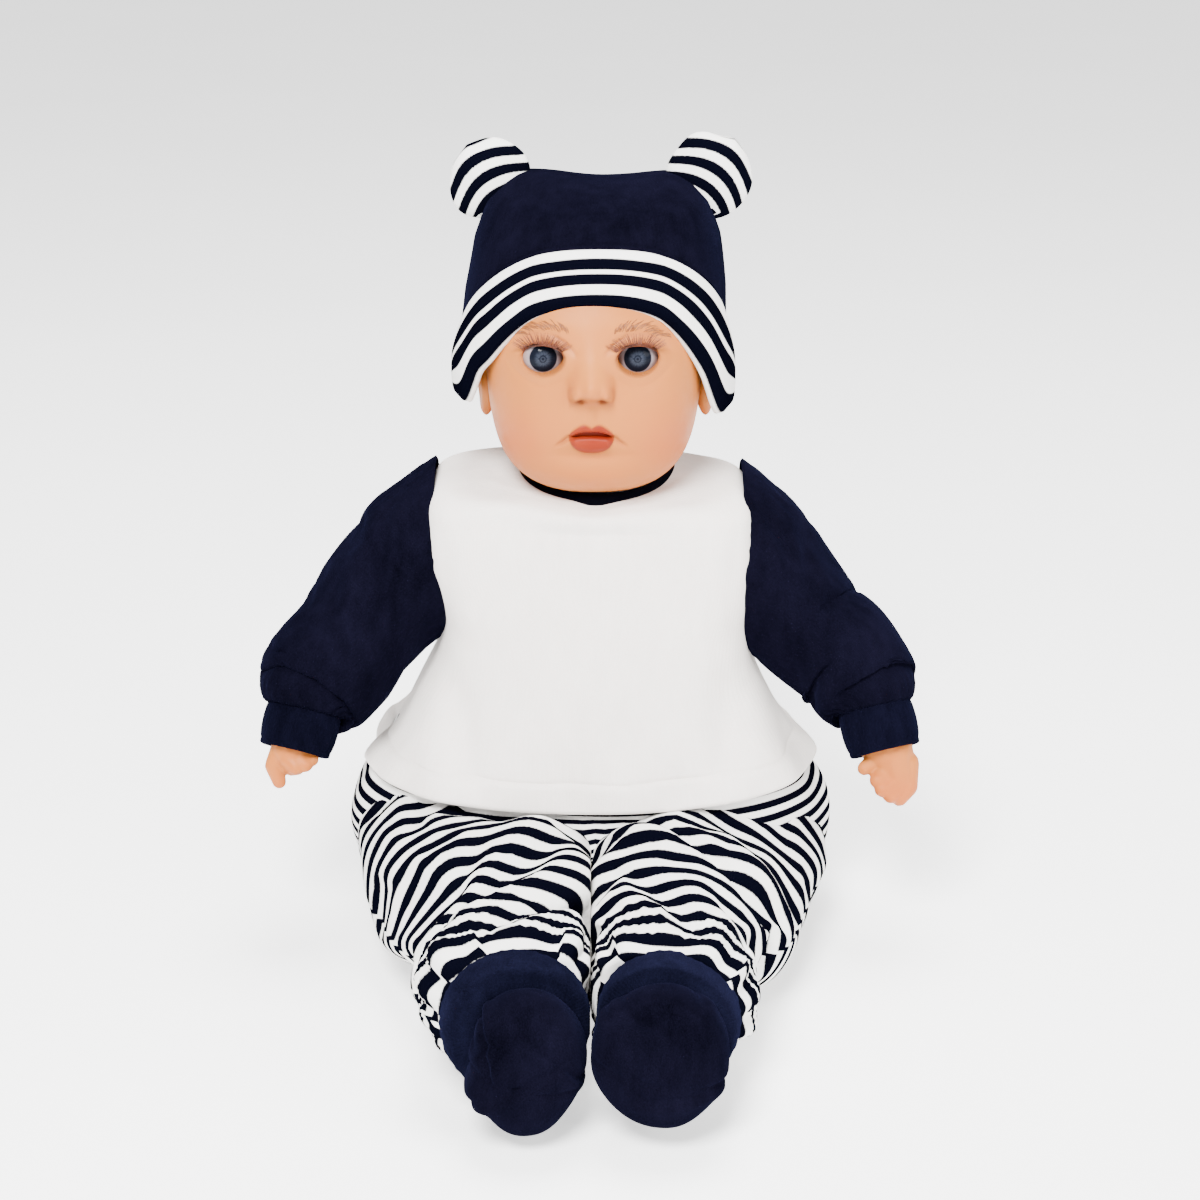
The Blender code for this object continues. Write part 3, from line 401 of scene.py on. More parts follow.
def ball_ways(rows, columns):
    """Directions to the points of a ball, in rings from the bottom to the top."""
    lift = np.linspace(-math.pi / 2, math.pi / 2, rows)[:, None]
    turn = round_angles(columns)[None, :]
    flat = np.cos(lift)
    return np.stack([flat * np.cos(turn), flat * np.sin(turn), np.sin(lift) + 0 * turn], axis=-1)


def smooth_most(distances, sharpness):
    """A soft maximum of several arrays."""
    stacked = np.stack(distances)
    top = stacked.max(axis=0)
    return top + np.log(np.exp(sharpness * (stacked - top)).sum(axis=0)) / sharpness


def tapered_strokes(name, strokes, material, body):
    """Fine hairs or painted strokes, each (points, radii), in one mesh."""
    sides = 5
    points, faces = [], []
    for line, radii in strokes:
        line = [Vector(p) for p in line]
        first = len(points)
        for k, (centre, radius) in enumerate(zip(line, radii)):
            way = (line[min(k + 1, len(line) - 1)] - line[max(k - 1, 0)]).normalized()
            wide = way.orthogonal().normalized()
            high = way.cross(wide)
            for step in range(sides):
                angle = 2 * math.pi * step / sides
                points.append(centre + radius * (wide * math.cos(angle) + high * math.sin(angle)))
        for k in range(len(line) - 1):
            for step in range(sides):
                a, b = first + k * sides + step, first + k * sides + (step + 1) % sides
                faces.append((a, b, b + sides, a + sides))
        faces.append(tuple(first + step for step in range(sides - 1, -1, -1)))
        last = first + (len(line) - 1) * sides
        faces.append(tuple(last + step for step in range(sides)))
    mesh = bpy.data.meshes.new(name)
    mesh.from_pydata([tuple(point) for point in points], [], faces)
    mesh.validate()
    mesh.shade_smooth()
    return finished(linked(name, mesh), material, body)


# ================================================================ head
FACE_MIDDLE_X = 0.0010
FACE_CENTRE = np.array([0.0022, -0.014, 0.290])
FACE_REACH = np.array([0.0520, 0.0548, 0.0632])
CRANIUM = np.array([0.0, 0.010, 0.314])
CRANIUM_REACH = np.array([0.0590, 0.0660, 0.0525])
NECK_R = 0.0238
NECK_BOTTOM = 0.2145
EYE_X, EYE_Z = 0.0218, 0.3003
EYE_HALF_W, EYE_HALF_H = 0.0096, 0.0072
RIGHT_EYE_OUT = 0.0008
MOUTH_Z = 0.2655


def eye_ellipse(x, z):
    """1 on the edge of an eye's opening. The outer corner is a little lower and longer than the inner one."""
    lateral = (np.abs(x) - EYE_X - RIGHT_EYE_OUT * (x < 0)) / EYE_HALF_W
    vertical = (z - EYE_Z + 0.0004 * lateral) / EYE_HALF_H
    return np.sqrt(lateral ** 2 + vertical ** 2 * (1 + 0.25 * lateral ** 2))


def lip_lines(x):
    """Heights of the upper lip's top, the mouth's gap top and bottom, and the lower lip's bottom at x."""
    t = np.clip(np.abs(x) / 0.0108, 0, 1)
    corner = MOUTH_Z - 0.0014
    arch = np.sqrt(np.clip(1 - t ** 2.2, 0, 1))
    bow = 0.0010 * hill(np.abs(x) - 0.0042, 0, 0.0020, 1.0) - 0.0009 * hill(x, 0, 0.0013, 1.0)
    upper = corner + (0.0062 * arch + bow * arch)
    gap_top = corner + 0.0033 * np.clip(1 - (t * 1.08) ** 2, 0, 1) ** 0.8 - 0.0005 * hill(x, 0, 0.0022, 1.0)
    gap_bottom = corner + 0.0004 * np.clip(1 - t, 0, 1) - 0.0002
    lower = corner - 0.0086 * np.clip(1 - t ** 2.4, 0, 1) ** 0.62
    return upper, gap_top, gap_bottom, lower


# Forms on the face: height, x and z of the middle, half width, half height.
MIDDLE_FORMS = (
    (0.0026, 0.0, 0.2990, 0.0062, 0.0090),               # bridge of the nose
    (0.0030, 0.0, 0.2930, 0.0060, 0.0050),               # lower bridge
    (-0.0006, 0.0, 0.2750, 0.0016, 0.0034),              # groove under the nose
    (0.0040, 0.0, 0.2400, 0.0150, 0.0080),               # chin
    (-0.0016, 0.0, 0.2545, 0.0110, 0.0022),              # dip above the chin
    (0.0022, 0.0, MOUTH_Z, 0.0130, 0.0085))              # mound of the mouth
PAIRED_FORMS = (
    (-0.0026, EYE_X, EYE_Z + 0.001, 0.0110, 0.0075),     # eye socket
    (0.0011, 0.0220, 0.3165, 0.0120, 0.0050),            # brow
    (-0.0007, 0.0046, 0.2858, 0.0009, 0.0026),           # groove between the nose's tip and wing
    (-0.0036, 0.0052, 0.2824, 0.0019, 0.0010),           # nostril
    (-0.0020, 0.0112, 0.2855, 0.0013, 0.0046),           # groove beside the wing
    (0.0005, 0.0034, 0.2748, 0.0014, 0.0034),            # ridge under the nose
    (0.0042, 0.0285, 0.2690, 0.0130, 0.0140),            # cheek
    (-0.0010, 0.0105, MOUTH_Z - 0.0014, 0.0012, 0.0008))  # corner of the mouth
NOSE_TIP_Z, WING_X, WING_Z = 0.2868, 0.0078, 0.2850
MOUTH_CREASE_X, MOUTH_CREASE_DROP, MOUTH_CREASE_SLOPE = 0.0130, 0.0034, 0.68


def mouth_crease(ax, z):
    """Height above the crease that runs down and outwards from each corner of the mouth."""
    return z - MOUTH_Z + MOUTH_CREASE_DROP + MOUTH_CREASE_SLOPE * (ax - MOUTH_CREASE_X)


def face_relief(x, z):
    """How far the face stands forward of its plain form, in metres, at x and z."""
    ax = np.sqrt(x ** 2 + 0.0016 ** 2)
    relief = np.zeros(x.shape)
    for forms, lateral in ((MIDDLE_FORMS, x), (PAIRED_FORMS, ax)):
        for height, middle_x, middle_z, half_w, half_h in forms:
            relief += height * hill(lateral - middle_x, z - middle_z, half_w, half_h)
    # lids, the crease above them and the one below
    e = eye_ellipse(x, z)
    relief += 0.0016 * bell(e - 1.05, 0.28)
    relief -= 0.0007 * bell(e - 1.62, 0.09) * ease(z, EYE_Z + 0.001, EYE_Z + 0.005)
    relief -= 0.00035 * bell(e - 1.75, 0.13) * ease(-z, -EYE_Z + 0.001, -EYE_Z + 0.006)
    relief -= 0.0012 * ease(-e, -1.12, -1.0)
    # nose: the tip and wings end more sharply below than above
    tip_fall = np.where(z < NOSE_TIP_Z, 0.0034, 0.0060)
    relief += 0.0092 * hill(x, (z - NOSE_TIP_Z) / tip_fall, 0.0054, 1.0)
    wing_fall = np.where(z < WING_Z, 0.0028, 0.0046)
    relief += 0.0050 * hill(ax - WING_X, (z - WING_Z) / wing_fall, 0.0023, 1.0)
    # lips and the gap between them
    upper, gap_top, gap_bottom, lower = lip_lines(x)
    inside = ax < 0.0107
    edge_fade = ease(0.0110 - ax, 0.0, 0.0035)
    middle_up = (upper + gap_top) / 2
    half_up = np.maximum((upper - gap_top) / 2, 0.0004)
    middle_low = (gap_bottom + lower) / 2
    half_low = np.maximum((gap_bottom - lower) / 2, 0.0004)
    lip_up = np.clip(1 - ((z - middle_up) / (half_up * 1.15)) ** 2, 0, 1) ** 0.6
    lip_low = np.clip(1 - ((z - middle_low) / (half_low * 1.08)) ** 2, 0, 1) ** 0.6
    relief += np.where(inside, 0.0016 * lip_up * edge_fade + 0.0026 * lip_low * edge_fade, 0.0)
    gap = ease(z, gap_bottom - 0.0002, gap_bottom + 0.0004) * ease(-z, -gap_top - 0.0002, -gap_top + 0.0004)
    relief -= np.where(ax < 0.0100, 0.0020 * gap * ease(0.0100 - ax, 0.0, 0.002), 0.0)
    relief -= 0.0014 * hill(ax - MOUTH_CREASE_X, mouth_crease(ax, z), 0.0024, 0.0009)
    return relief


# Besides sprayed tints, these hold painted shade colours for the lid creases, the nostrils, the nose's wings and
# sides, under the nose and the mouth's corner creases.
EYE_SHADOW, RIM_BROWN, LID_CREASE_SHADE = (0.50, 0.16, 0.06), (0.060, 0.010, 0.004), (0.34, 0.105, 0.045)
NOSTRIL_SHADE, WING_SHADE, NOSE_SHADE = (0.085, 0.016, 0.006), (0.27, 0.072, 0.020), (0.31, 0.088, 0.024)
UNDER_NOSE_SHADOW, MOUTH_CREASE_SHADE = (0.36, 0.10, 0.045), (0.24, 0.062, 0.016)


def face_paint(points):
    """Sprayed colour over the head: blush, lips and eye rims, with painted shade in the lid creases, the nostrils,
    round the nose's wings and sides, under the nose, in the mouth's corner creases and below the lower lip.
    """
    x, y, z = points[:, 0] - FACE_MIDDLE_X, points[:, 1], points[:, 2]
    ax = np.abs(x)
    colour = np.tile(np.array(SKIN), (len(points), 1))
    front = ease(-y, 0.005, 0.030)

    def spray(amount, tint):
        nonlocal colour
        amount = np.clip(amount, 0, 1)[:, None]
        colour = colour * (1 - amount) + np.array(tint) * amount

    spray(0.42 * hill(ax - 0.0400, z - 0.2560, 0.0095, 0.0110) * ease(-y, -0.01, 0.01), BLUSH)
    spray(0.20 * hill(ax - 0.0300, z - 0.2620, 0.0120, 0.0130) * front, BLUSH)
    spray(0.20 * hill(x, z - 0.2420, 0.0150, 0.0060) * front, BLUSH)
    spray(0.34 * hill(ax - EYE_X, z - EYE_Z - 0.0085, 0.0100, 0.0035) * front, EYE_SHADOW)
    rim = bell(eye_ellipse(x, z) - 1.02, 0.09) * front
    spray((0.40 + 0.55 * ease(z, EYE_Z - 0.001, EYE_Z + 0.003)) * rim, RIM_BROWN)
    # painted shade along the crease above each lid
    spray(0.30 * bell(eye_ellipse(x, z) - 1.62, 0.07) * ease(z, EYE_Z, EYE_Z + 0.005) * front, LID_CREASE_SHADE)
    spray(0.18 * hill(x, z - 0.2850, 0.0085, 0.0040) * front, BLUSH)
    # painted shade in the nostrils: a dark comma in each pit
    nostril = z - 0.2826 + 0.30 * (ax - 0.0052) + 60.0 * (ax - 0.0052) ** 2
    spray(0.95 * hill(ax - 0.0055, nostril, 0.0021, 0.0012) * front, NOSTRIL_SHADE)
    wing = np.sqrt(((ax - 0.0066) / 0.0036) ** 2 + ((z - WING_Z) / 0.0044) ** 2)
    spray(0.60 * bell(wing - 1.12, 0.14) * ease(ax, 0.0075, 0.0098) * front, WING_SHADE)
    spray(0.32 * hill(ax - WING_X - 0.12 * (0.2935 - z), z - 0.2930, 0.0013, 0.0050) * front, NOSE_SHADE)
    # painted shadow under the nose's tip, between the nostrils
    spray(0.35 * hill(x, z - 0.2808, 0.0060, 0.0009) * front, UNDER_NOSE_SHADOW)
    upper, gap_top, gap_bottom, lower = lip_lines(x)
    lips = (ease(z, lower - 0.0002, lower + 0.0007) * ease(-z, -upper - 0.0002, -upper + 0.0007)
            * ease(0.0111 - ax, 0.0, 0.0008))
    spray(0.92 * lips * front, LIP)
    gap = (ease(z, gap_bottom - 0.0012, gap_bottom + 0.0010) * ease(-z, -gap_top - 0.0002, -gap_top + 0.0004)
           * ease(0.0098 - ax, 0.0, 0.0015))
    spray(0.80 * gap * front, LIP_DARK)
    # painted shade in the creases that run down and outwards from the mouth's corners
    spray(0.62 * hill(ax - 0.0128, mouth_crease(ax, z), 0.0021, 0.0012) * front, MOUTH_CREASE_SHADE)
    # blush colour sprayed as painted shade along the dip below the lower lip
    spray(0.22 * hill(x, z - 0.2538, 0.0085, 0.0012) * front, BLUSH)
    return colour


def paint_points(obj, colours):
    layer = obj.data.color_attributes.new(name="paint", type="FLOAT_COLOR", domain="POINT")
    values = np.ones((len(obj.data.vertices), 4), np.float32)
    values[:, :3] = colours
    layer.data.foreach_set("color", values.ravel())


def uneven(count, low, high, dense_low, dense_high, dense_share):
    """Values from low to high with dense_share of them between dense_low and dense_high."""
    inside = int(count * dense_share)
    before = max(int((count - inside) * (dense_low - low) / (dense_low - low + high - dense_high)), 2)
    after = count - inside - before
    return np.concatenate([np.linspace(low, dense_low, before, endpoint=False),
                           np.linspace(dense_low, dense_high, inside, endpoint=False),
                           np.linspace(dense_high, high, after)])


def ray_to_ellipsoid(directions, start, centre, reach):
    """Distance from start, inside an ellipsoid, to its surface in each direction."""
    d, o = directions / reach, (start - centre) / reach
    a, b, c = (d * d).sum(-1), (d * o).sum(-1), (o * o).sum() - 1
    return (-b + np.sqrt(np.maximum(b * b - a * c, 0))) / a


def head_points(rows, columns):
    """Rings of the head: the face, the cranium and the neck stub melted together, without the features."""
    lift = np.radians(uneven(rows, -89.0, 89.0, -52.0, 22.0, 0.74))
    turn = np.radians(uneven(columns + 1, -180.0, 180.0, -50.0, 50.0, 0.66))[:-1]
    lift, turn = np.meshgrid(lift, turn, indexing="ij")
    ways = np.stack([np.sin(turn) * np.cos(lift), -np.cos(turn) * np.cos(lift), np.sin(lift)], axis=-1)
    power = 2.2 + 0.50 * ease(-lift, math.radians(5), math.radians(48))
    face = (np.abs(ways / FACE_REACH) ** power[..., None]).sum(-1) ** (-1.0 / power)
    cranium = ray_to_ellipsoid(ways, FACE_CENTRE, CRANIUM, CRANIUM_REACH)
    axis = np.array([0.0, 0.004]) - FACE_CENTRE[:2]
    flat = ways[..., :2]
    a = (flat ** 2).sum(-1) + 1e-9
    b = -(flat * axis).sum(-1)
    side = (-b + np.sqrt(b * b - a * ((axis ** 2).sum() - NECK_R ** 2))) / a
    lowest = (NECK_BOTTOM - FACE_CENTRE[2]) / np.minimum(ways[..., 2], -0.05)
    down = np.where(ways[..., 2] < -0.05, lowest, 0.0)
    neck = np.minimum(side, down)
    reach = smooth_most([face, cranium, neck], 520.0)
    return FACE_CENTRE + ways * reach[..., None]


def make_head():
    points = head_points(230, 300)
    x, z = points[..., 0] - FACE_MIDDLE_X, points[..., 2]
    facing = ease(-(points[..., 1] - FACE_CENTRE[1]), 0.010, 0.034)
    points[..., 1] -= face_relief(x, z) * facing
    head = rings_to_mesh("head", points, capped=True)
    for side_name, side in SIDES:
        cut(head, eye_opening(side_name, side))
    paint_points(head, face_paint(coordinates(head)))
    head.data.set_sharp_from_angle(angle=math.radians(50))
    return finished(head, "skin", "head", ("head_shell",))


def eye_opening(side_name, side):
    """A cutter through the lids, from in front of the face to the middle of the eyeball."""
    steps, front, back = 72, -0.090, -0.0500
    out = RIGHT_EYE_OUT if side < 0 else 0.0
    rings = []
    for y in (front, back):
        ring = []
        for k in range(steps):
            angle = 2 * math.pi * k / steps
            lateral = math.cos(angle)
            stretch = 1.0 / math.sqrt(1 + 0.25 * lateral ** 2 * math.sin(angle) ** 2)
            lx, lz = lateral * EYE_HALF_W, math.sin(angle) * EYE_HALF_H * stretch
            ring.append((FACE_MIDDLE_X + side * (EYE_X + out + lx), y, EYE_Z + lz - 0.0004 * lateral))
        rings.append(ring)
    opening = rings_to_mesh(f"eye_opening_{side_name}", np.array(rings), capped=True)
    recalculate(opening)
    return opening


def cut(obj, cutter):
    recalculate(obj)
    step = obj.modifiers.new("cut", "BOOLEAN")
    step.operation, step.object, step.solver = "DIFFERENCE", cutter, "EXACT"
    apply_modifiers(obj)
    mesh = cutter.data
    bpy.data.objects.remove(cutter)
    bpy.data.meshes.remove(mesh)


# ================================================================ eyes
EYE_R = 0.0115
GAZE_X, GAZE_Z = {1.0: 0.0004, -1.0: 0.0006}, 0.0008
LID_START, LID_FULL = 38.5, 40.0
LASH_COUNT, LASH_SPREAD, LASH_RISE = 66, 50, 36.5
LASH_RADII = [0.00026, 0.00024, 0.00019, 0.00013, 0.00005]
BROW_COUNT, BROW_RADII = 38, [0.00013, 0.00027, 0.00029, 0.00023, 0.00010]


def eye_material():
    """Acrylic eye: a skin-coloured lid above, the white dimmed by painted shade, and a ringed dark grey-blue iris.
    """
    eye = Shader("acrylic_eye", roughness=0.04, specular=0.04)
    where = eye.attribute("eye_place", "Vector")
    split = eye.node("ShaderNodeSeparateXYZ", Vector=where)
    x, z, lid = split.outputs["X"], split.outputs["Z"], split.outputs["Y"]
    radius = eye.maths("SQRT", eye.maths("ADD", eye.maths("MULTIPLY", x, x), eye.maths("MULTIPLY", z, z)), 0)
    angle = eye.maths("ARCTAN2", z, x)
    ray_place = eye.node("ShaderNodeCombineXYZ", X=eye.maths("MULTIPLY", angle, 3.2),
                         Y=eye.maths("MULTIPLY", radius, 120.0)).outputs["Vector"]
    rays = eye.span(eye.noise(3.0, 3.0, ray_place), 0.30, 0.70)
    # the white is a dim grey pink, painted shade from the lids, turning a darker brownish red towards the corners
    # of the opening as more painted shade
    white = eye.mix(eye.span(radius, 0.0066, 0.0100), (0.200, 0.165, 0.175), (0.22, 0.12, 0.09))
    iris = eye.mix(rays, (0.002, 0.003, 0.005), (0.009, 0.011, 0.018))
    pale = eye.mix(rays, (0.004, 0.005, 0.009), (0.032, 0.038, 0.054))
    black = (0.004, 0.005, 0.009)
    colour = eye.mix(eye.span(radius, 0.0062, 0.0067), black, white)
    ragged = eye.maths("ADD", radius, eye.maths("MULTIPLY", rays, 0.0007))
    colour = eye.mix(eye.span(ragged, 0.0044, 0.0052), iris, colour)
    colour = eye.mix(eye.span(ragged, 0.0030, 0.0046), pale, colour)
    colour = eye.mix(eye.span(ragged, 0.0019, 0.0024), black, colour)
    colour = eye.mix(eye.span(radius, 0.0011, 0.0014), (0.016, 0.019, 0.028), colour)
    colour = eye.mix(eye.span(radius, 0.0004, 0.0008), black, colour)
    eye.set("Base Color", eye.mix(eye.span(lid, 0.0, 1.0), colour, SKIN))
    return eye.material


def make_eyes():
    acrylic = eye_material()
    lash_paint = Shader("lash_bristle", roughness=0.55)
    lash_paint.set("Base Color", lash_paint.noise_mix((0.070, 0.011, 0.0012), (0.140, 0.028, 0.0030), 900.0))
    dark_lash = Shader("lash_root", roughness=0.6)
    dark_lash.set("Base Color", dark_lash.noise_mix((0.012, 0.005, 0.003), (0.03, 0.012, 0.006), 900.0))
    for side_name, side in SIDES:
        centre = Vector(JOINTS[f"eye_close_{side_name}"]["pos_m"])
        rows, columns = 72, 96
        lift, turn = np.meshgrid(np.linspace(0.0, math.pi, rows), np.linspace(0, 2 * math.pi, columns, False),
                                 indexing="ij")
        ball = np.stack([np.sin(lift) * np.cos(turn), -np.cos(lift), np.sin(lift) * np.sin(turn)], axis=-1)
        points = np.array(centre) + EYE_R * ball
        eye = rings_to_mesh(f"eye_{side_name}", points)
        recalculate(eye, 1e-6)
        place = coordinates(eye) - np.array(centre)
        layer = eye.data.attributes.new("eye_place", "FLOAT_VECTOR", "POINT")
        rise = np.degrees(np.arctan2(place[:, 2], -place[:, 1]))
        place[:, 1] = ease(rise, LID_START, LID_FULL) * (place[:, 1] < 0.004)
        place[:, 2] -= GAZE_Z
        place[:, 0] -= GAZE_X[side]
        layer.data.foreach_set("vector", place.astype(np.float32).ravel())
        finished(eye, acrylic, f"eye_{side_name}", (f"eyeball_{side_name}", f"iris_{side_name}"))
        make_lashes(side_name, side, centre, lash_paint.material, dark_lash.material)


def make_lashes(side_name, side, centre, paint, dark):
    """A dark root strip along the upper lid and a row of curved hairs that fan outwards."""
    hairs, root_line, root_radii = [], [], []
    surface = FaceSurface()
    for k in range(LASH_COUNT):
        across = -1.0 + 2.0 * (k / (LASH_COUNT - 1))
        yaw = math.radians(LASH_SPREAD * across)
        rise = math.radians(LASH_RISE - 17 * abs(across) ** 2.2)
        out = Vector((math.sin(yaw) * math.cos(rise), -math.cos(yaw) * math.cos(rise), math.sin(rise)))
        root = centre + out * (EYE_R + 0.00045)
        root_line.append(root)
        root_radii.append(0.00055 * (1.0 - 0.6 * abs(across) ** 3))
        outer = across * side > 0
        reach = 1.12 + 0.18 * (outer and abs(across) > 0.3) + random.uniform(-0.20, 0.14)
        fan = across + random.uniform(-0.14, 0.14)
        lid_front = surface.at(root.x, root.z + 0.0030, 0.0).y
        clear = max(root.y - lid_front, 0.0) + 0.0007
        legs = [(Vector((0.08 * fan, -1.0, 0.14)), clear), (Vector((0.75 * fan, -0.55, 0.80)), 0.0016),
                (Vector((1.05 * fan, -0.10, 0.98 - 0.35 * abs(across))), 0.0022),
                (Vector((1.15 * fan, 0.10, 1.00 - 0.45 * abs(across))), 0.0020)]
        points = [root]
        for way, length in legs:
            points.append(points[-1] + way.normalized() * length * (1.0 if len(points) == 1 else reach))
        hairs.append((points, LASH_RADII))
    tapered_strokes(f"lashes_{side_name}", hairs, paint, f"eye_{side_name}")
    strip = tapered_strokes(f"lash_strip_{side_name}", [(root_line, root_radii)], dark, f"eye_{side_name}")
    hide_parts(f"eyelash_{side_name}")


def make_ears():
    """The vinyl ears: a curled rim round a hollow, with the lobe that shows below the hat."""
    for side_name, side in SIDES:
        ways = ball_ways(40, 64)
        height = ways[..., 2]
        points = ways * np.array([0.0054, 0.0100, 0.0165])
        points[..., 1] *= 1 - 0.28 * ease(-height, 0.0, 0.9)
        hollow = hill(points[..., 1], points[..., 2] - 0.001, 0.0042, 0.0085) * (ways[..., 0] > 0)
        points[..., 0] -= 0.0040 * hollow
        points[..., 0] += 0.0016 * (points[..., 1] / 0.010)
        points += np.array([0.0520, -0.0020, 0.2745])
        points[..., 0] *= side
        points[..., 0] += FACE_MIDDLE_X + (0.0040 if side > 0 else 0.0)
        ear = rings_to_mesh(f"ear_{side_name}", points)
        recalculate(ear, 1e-6)
        colours = np.tile(np.array(SKIN), (len(ear.data.vertices), 1))
        depth = np.clip((0.2680 - coordinates(ear)[:, 2]) / 0.010, 0, 1)[:, None] * 0.45
        paint_points(ear, colours * (1 - depth) + np.array(BLUSH) * depth)
        finished(ear, "skin", "head")


def make_brows():
    """Painted brow strokes: short fine lines that lean outwards along an arch."""
    paint = Shader("brow_paint", roughness=0.5)
    paint.set("Base Color", paint.noise_mix((0.150, 0.038, 0.0030), (0.230, 0.064, 0.006), 700.0))
    strokes = []
    surface = FaceSurface()
    for _, side in SIDES:
        for k in range(BROW_COUNT):
            share = k / (BROW_COUNT - 1)
            x = 0.0108 + 0.0250 * share
            arch = 0.3132 + 0.0030 * math.sin(math.pi * min(share * 1.15 + 0.05, 1.0)) - 0.0026 * share ** 2.4
            z = arch + random.uniform(-0.0012, 0.0012)
            slope = math.radians(84 - 88 * share + random.uniform(-9, 9))
            length = 0.0036 + 0.0020 * math.sin(math.pi * share) + random.uniform(-0.0006, 0.0006)
            line = []
            for step in range(5):
                t = step / 4 - 0.3
                bend = slope - math.radians(22) * step / 4
                px, pz = x + length * t * math.cos(bend), z + length * t * math.sin(bend)
                line.append(surface.at(FACE_MIDDLE_X + side * px, pz, 0.00002))
            strokes.append((line, BROW_RADII))
    tapered_strokes("brows", strokes, paint.material, "head")


class FaceSurface:
    """Finds points on the front of the head's surface."""

    def __init__(self):
        head = bpy.data.objects["head"]
        graph = bpy.context.evaluated_depsgraph_get()
        self.tree = BVHTree.FromObject(head, graph)

    def at(self, x, z, above):
        place, normal, _, _ = self.tree.ray_cast(Vector((x, -0.2, z)), Vector((0, 1, 0)))
        return place + normal * above if place is not None else Vector((x, -0.05, z))


# ================================================================ cloth helpers
CLOTH_WALL = 0.0016


def through(stations, rows):
    """Smooth values through the stations, rows of numbers, spaced evenly along the first three columns."""
    stations = np.array(stations, float)
    lengths = np.concatenate([[0.0], np.cumsum(np.linalg.norm(np.diff(stations[:, :3], axis=0), axis=1))])
    slopes = np.gradient(stations, lengths, axis=0)
    wanted = np.linspace(0.0, lengths[-1], rows)
    k = np.clip(np.searchsorted(lengths, wanted, side="right") - 1, 0, len(lengths) - 2)
    gap = (lengths[k + 1] - lengths[k])[:, None]
    t = (wanted[:, None] - lengths[k][:, None]) / gap
    start, end = stations[k], stations[k + 1]
    return ((2 * t ** 3 - 3 * t ** 2 + 1) * start + (t ** 3 - 2 * t ** 2 + t) * gap * slopes[k]
            + (3 * t ** 2 - 2 * t ** 3) * end + (t ** 3 - t ** 2) * gap * slopes[k + 1])


def oval_tube(stations, rows, columns, across, side=1.0, squareness=2.0, inner_squareness=0.0):
    """Points (rows, columns, 3) of a tube through stations of (x, y, z, half width, half height). Column 0 is
    on the `across` side."""
    values = through(stations, rows)
    centres = values[:, :3]
    ways = np.gradient(centres, axis=0)
    ways /= np.linalg.norm(ways, axis=1, keepdims=True)
    wide = across - (ways @ across)[:, None] * ways
    wide /= np.linalg.norm(wide, axis=1, keepdims=True)
    high = np.cross(ways, wide)
    angles = round_angles(columns)
    cosines, sines = superellipse(angles, 2.0 / (squareness + inner_squareness * (1 - np.cos(angles)) / 2))
    points = (centres[:, None] + wide[:, None] * (values[:, 3:4] * cosines)[..., None]
              + high[:, None] * (values[:, 4:5] * sines)[..., None])
    points[..., 0] *= side
    return points


def level_rings(rows, count, columns):
    """Points of level superellipse sections, each row (z, half width, front y, back y, squareness), top
    first. Column 0 is on the +X side."""
    table = np.array([(0.0, 0.0, z, w, f, b, s) for z, w, f, b, s in rows], float)
    table[:, 0], table[:, 1] = table[:, 3], table[:, 4]
    values = through(table, count)
    across, along = superellipse(round_angles(columns), 2.0 / values[:, 6:7])
    middle, depth = (values[:, 4:5] + values[:, 5:6]) / 2, (values[:, 5:6] - values[:, 4:5]) / 2
    return np.stack([values[:, 3:4] * across, middle + depth * along,
                     np.broadcast_to(values[:, 2:3], across.shape)], axis=-1)


def metric_uv(points):
    """UV in metres: U round the piece at its middle row, V along it at each row's mean distance."""
    closed = np.concatenate([points, points[:, :1]], axis=1)
    step_u = np.linalg.norm(np.diff(closed, axis=1), axis=-1)
    u = np.concatenate([[0.0], np.cumsum(step_u[len(points) // 2])])
    step_v = np.linalg.norm(np.diff(points, axis=0), axis=-1).mean(axis=1)
    v = np.concatenate([[0.0], np.cumsum(step_v)])
    return np.stack(np.meshgrid(u, v), axis=-1)


def random_waves(seed, places, size, count=14):
    """A smooth random field over places (…, n), from about -1 to 1, with features of about `size`."""
    dice = np.random.default_rng(seed)
    total = np.zeros(places.shape[:-1])
    for _ in range(count):
        way = dice.normal(size=places.shape[-1])
        way *= dice.uniform(0.6, 1.4) * math.pi / (size * np.linalg.norm(way))
        total += np.cos(places @ way + dice.uniform(0, 2 * math.pi))
    return total / math.sqrt(count / 2) * 0.6


def on_cylinder(turn, radius, along):
    """Places round a cylinder, so that random waves over them join up."""
    return np.stack([np.cos(turn) * radius + 0 * along, np.sin(turn) * radius + 0 * along, along], axis=-1)


def normals_of(points):
    """Outward directions at rings of points."""
    du = np.roll(points, -1, axis=1) - np.roll(points, 1, axis=1)
    dv = np.gradient(points, axis=0)
    made = np.cross(dv, du)
    made /= np.linalg.norm(made, axis=-1, keepdims=True) + 1e-12
    inward = (made * (points - points.mean(axis=1, keepdims=True))).sum(-1).mean() < 0
    return -made if inward else made


CRUMPLE_FRAMES = 18


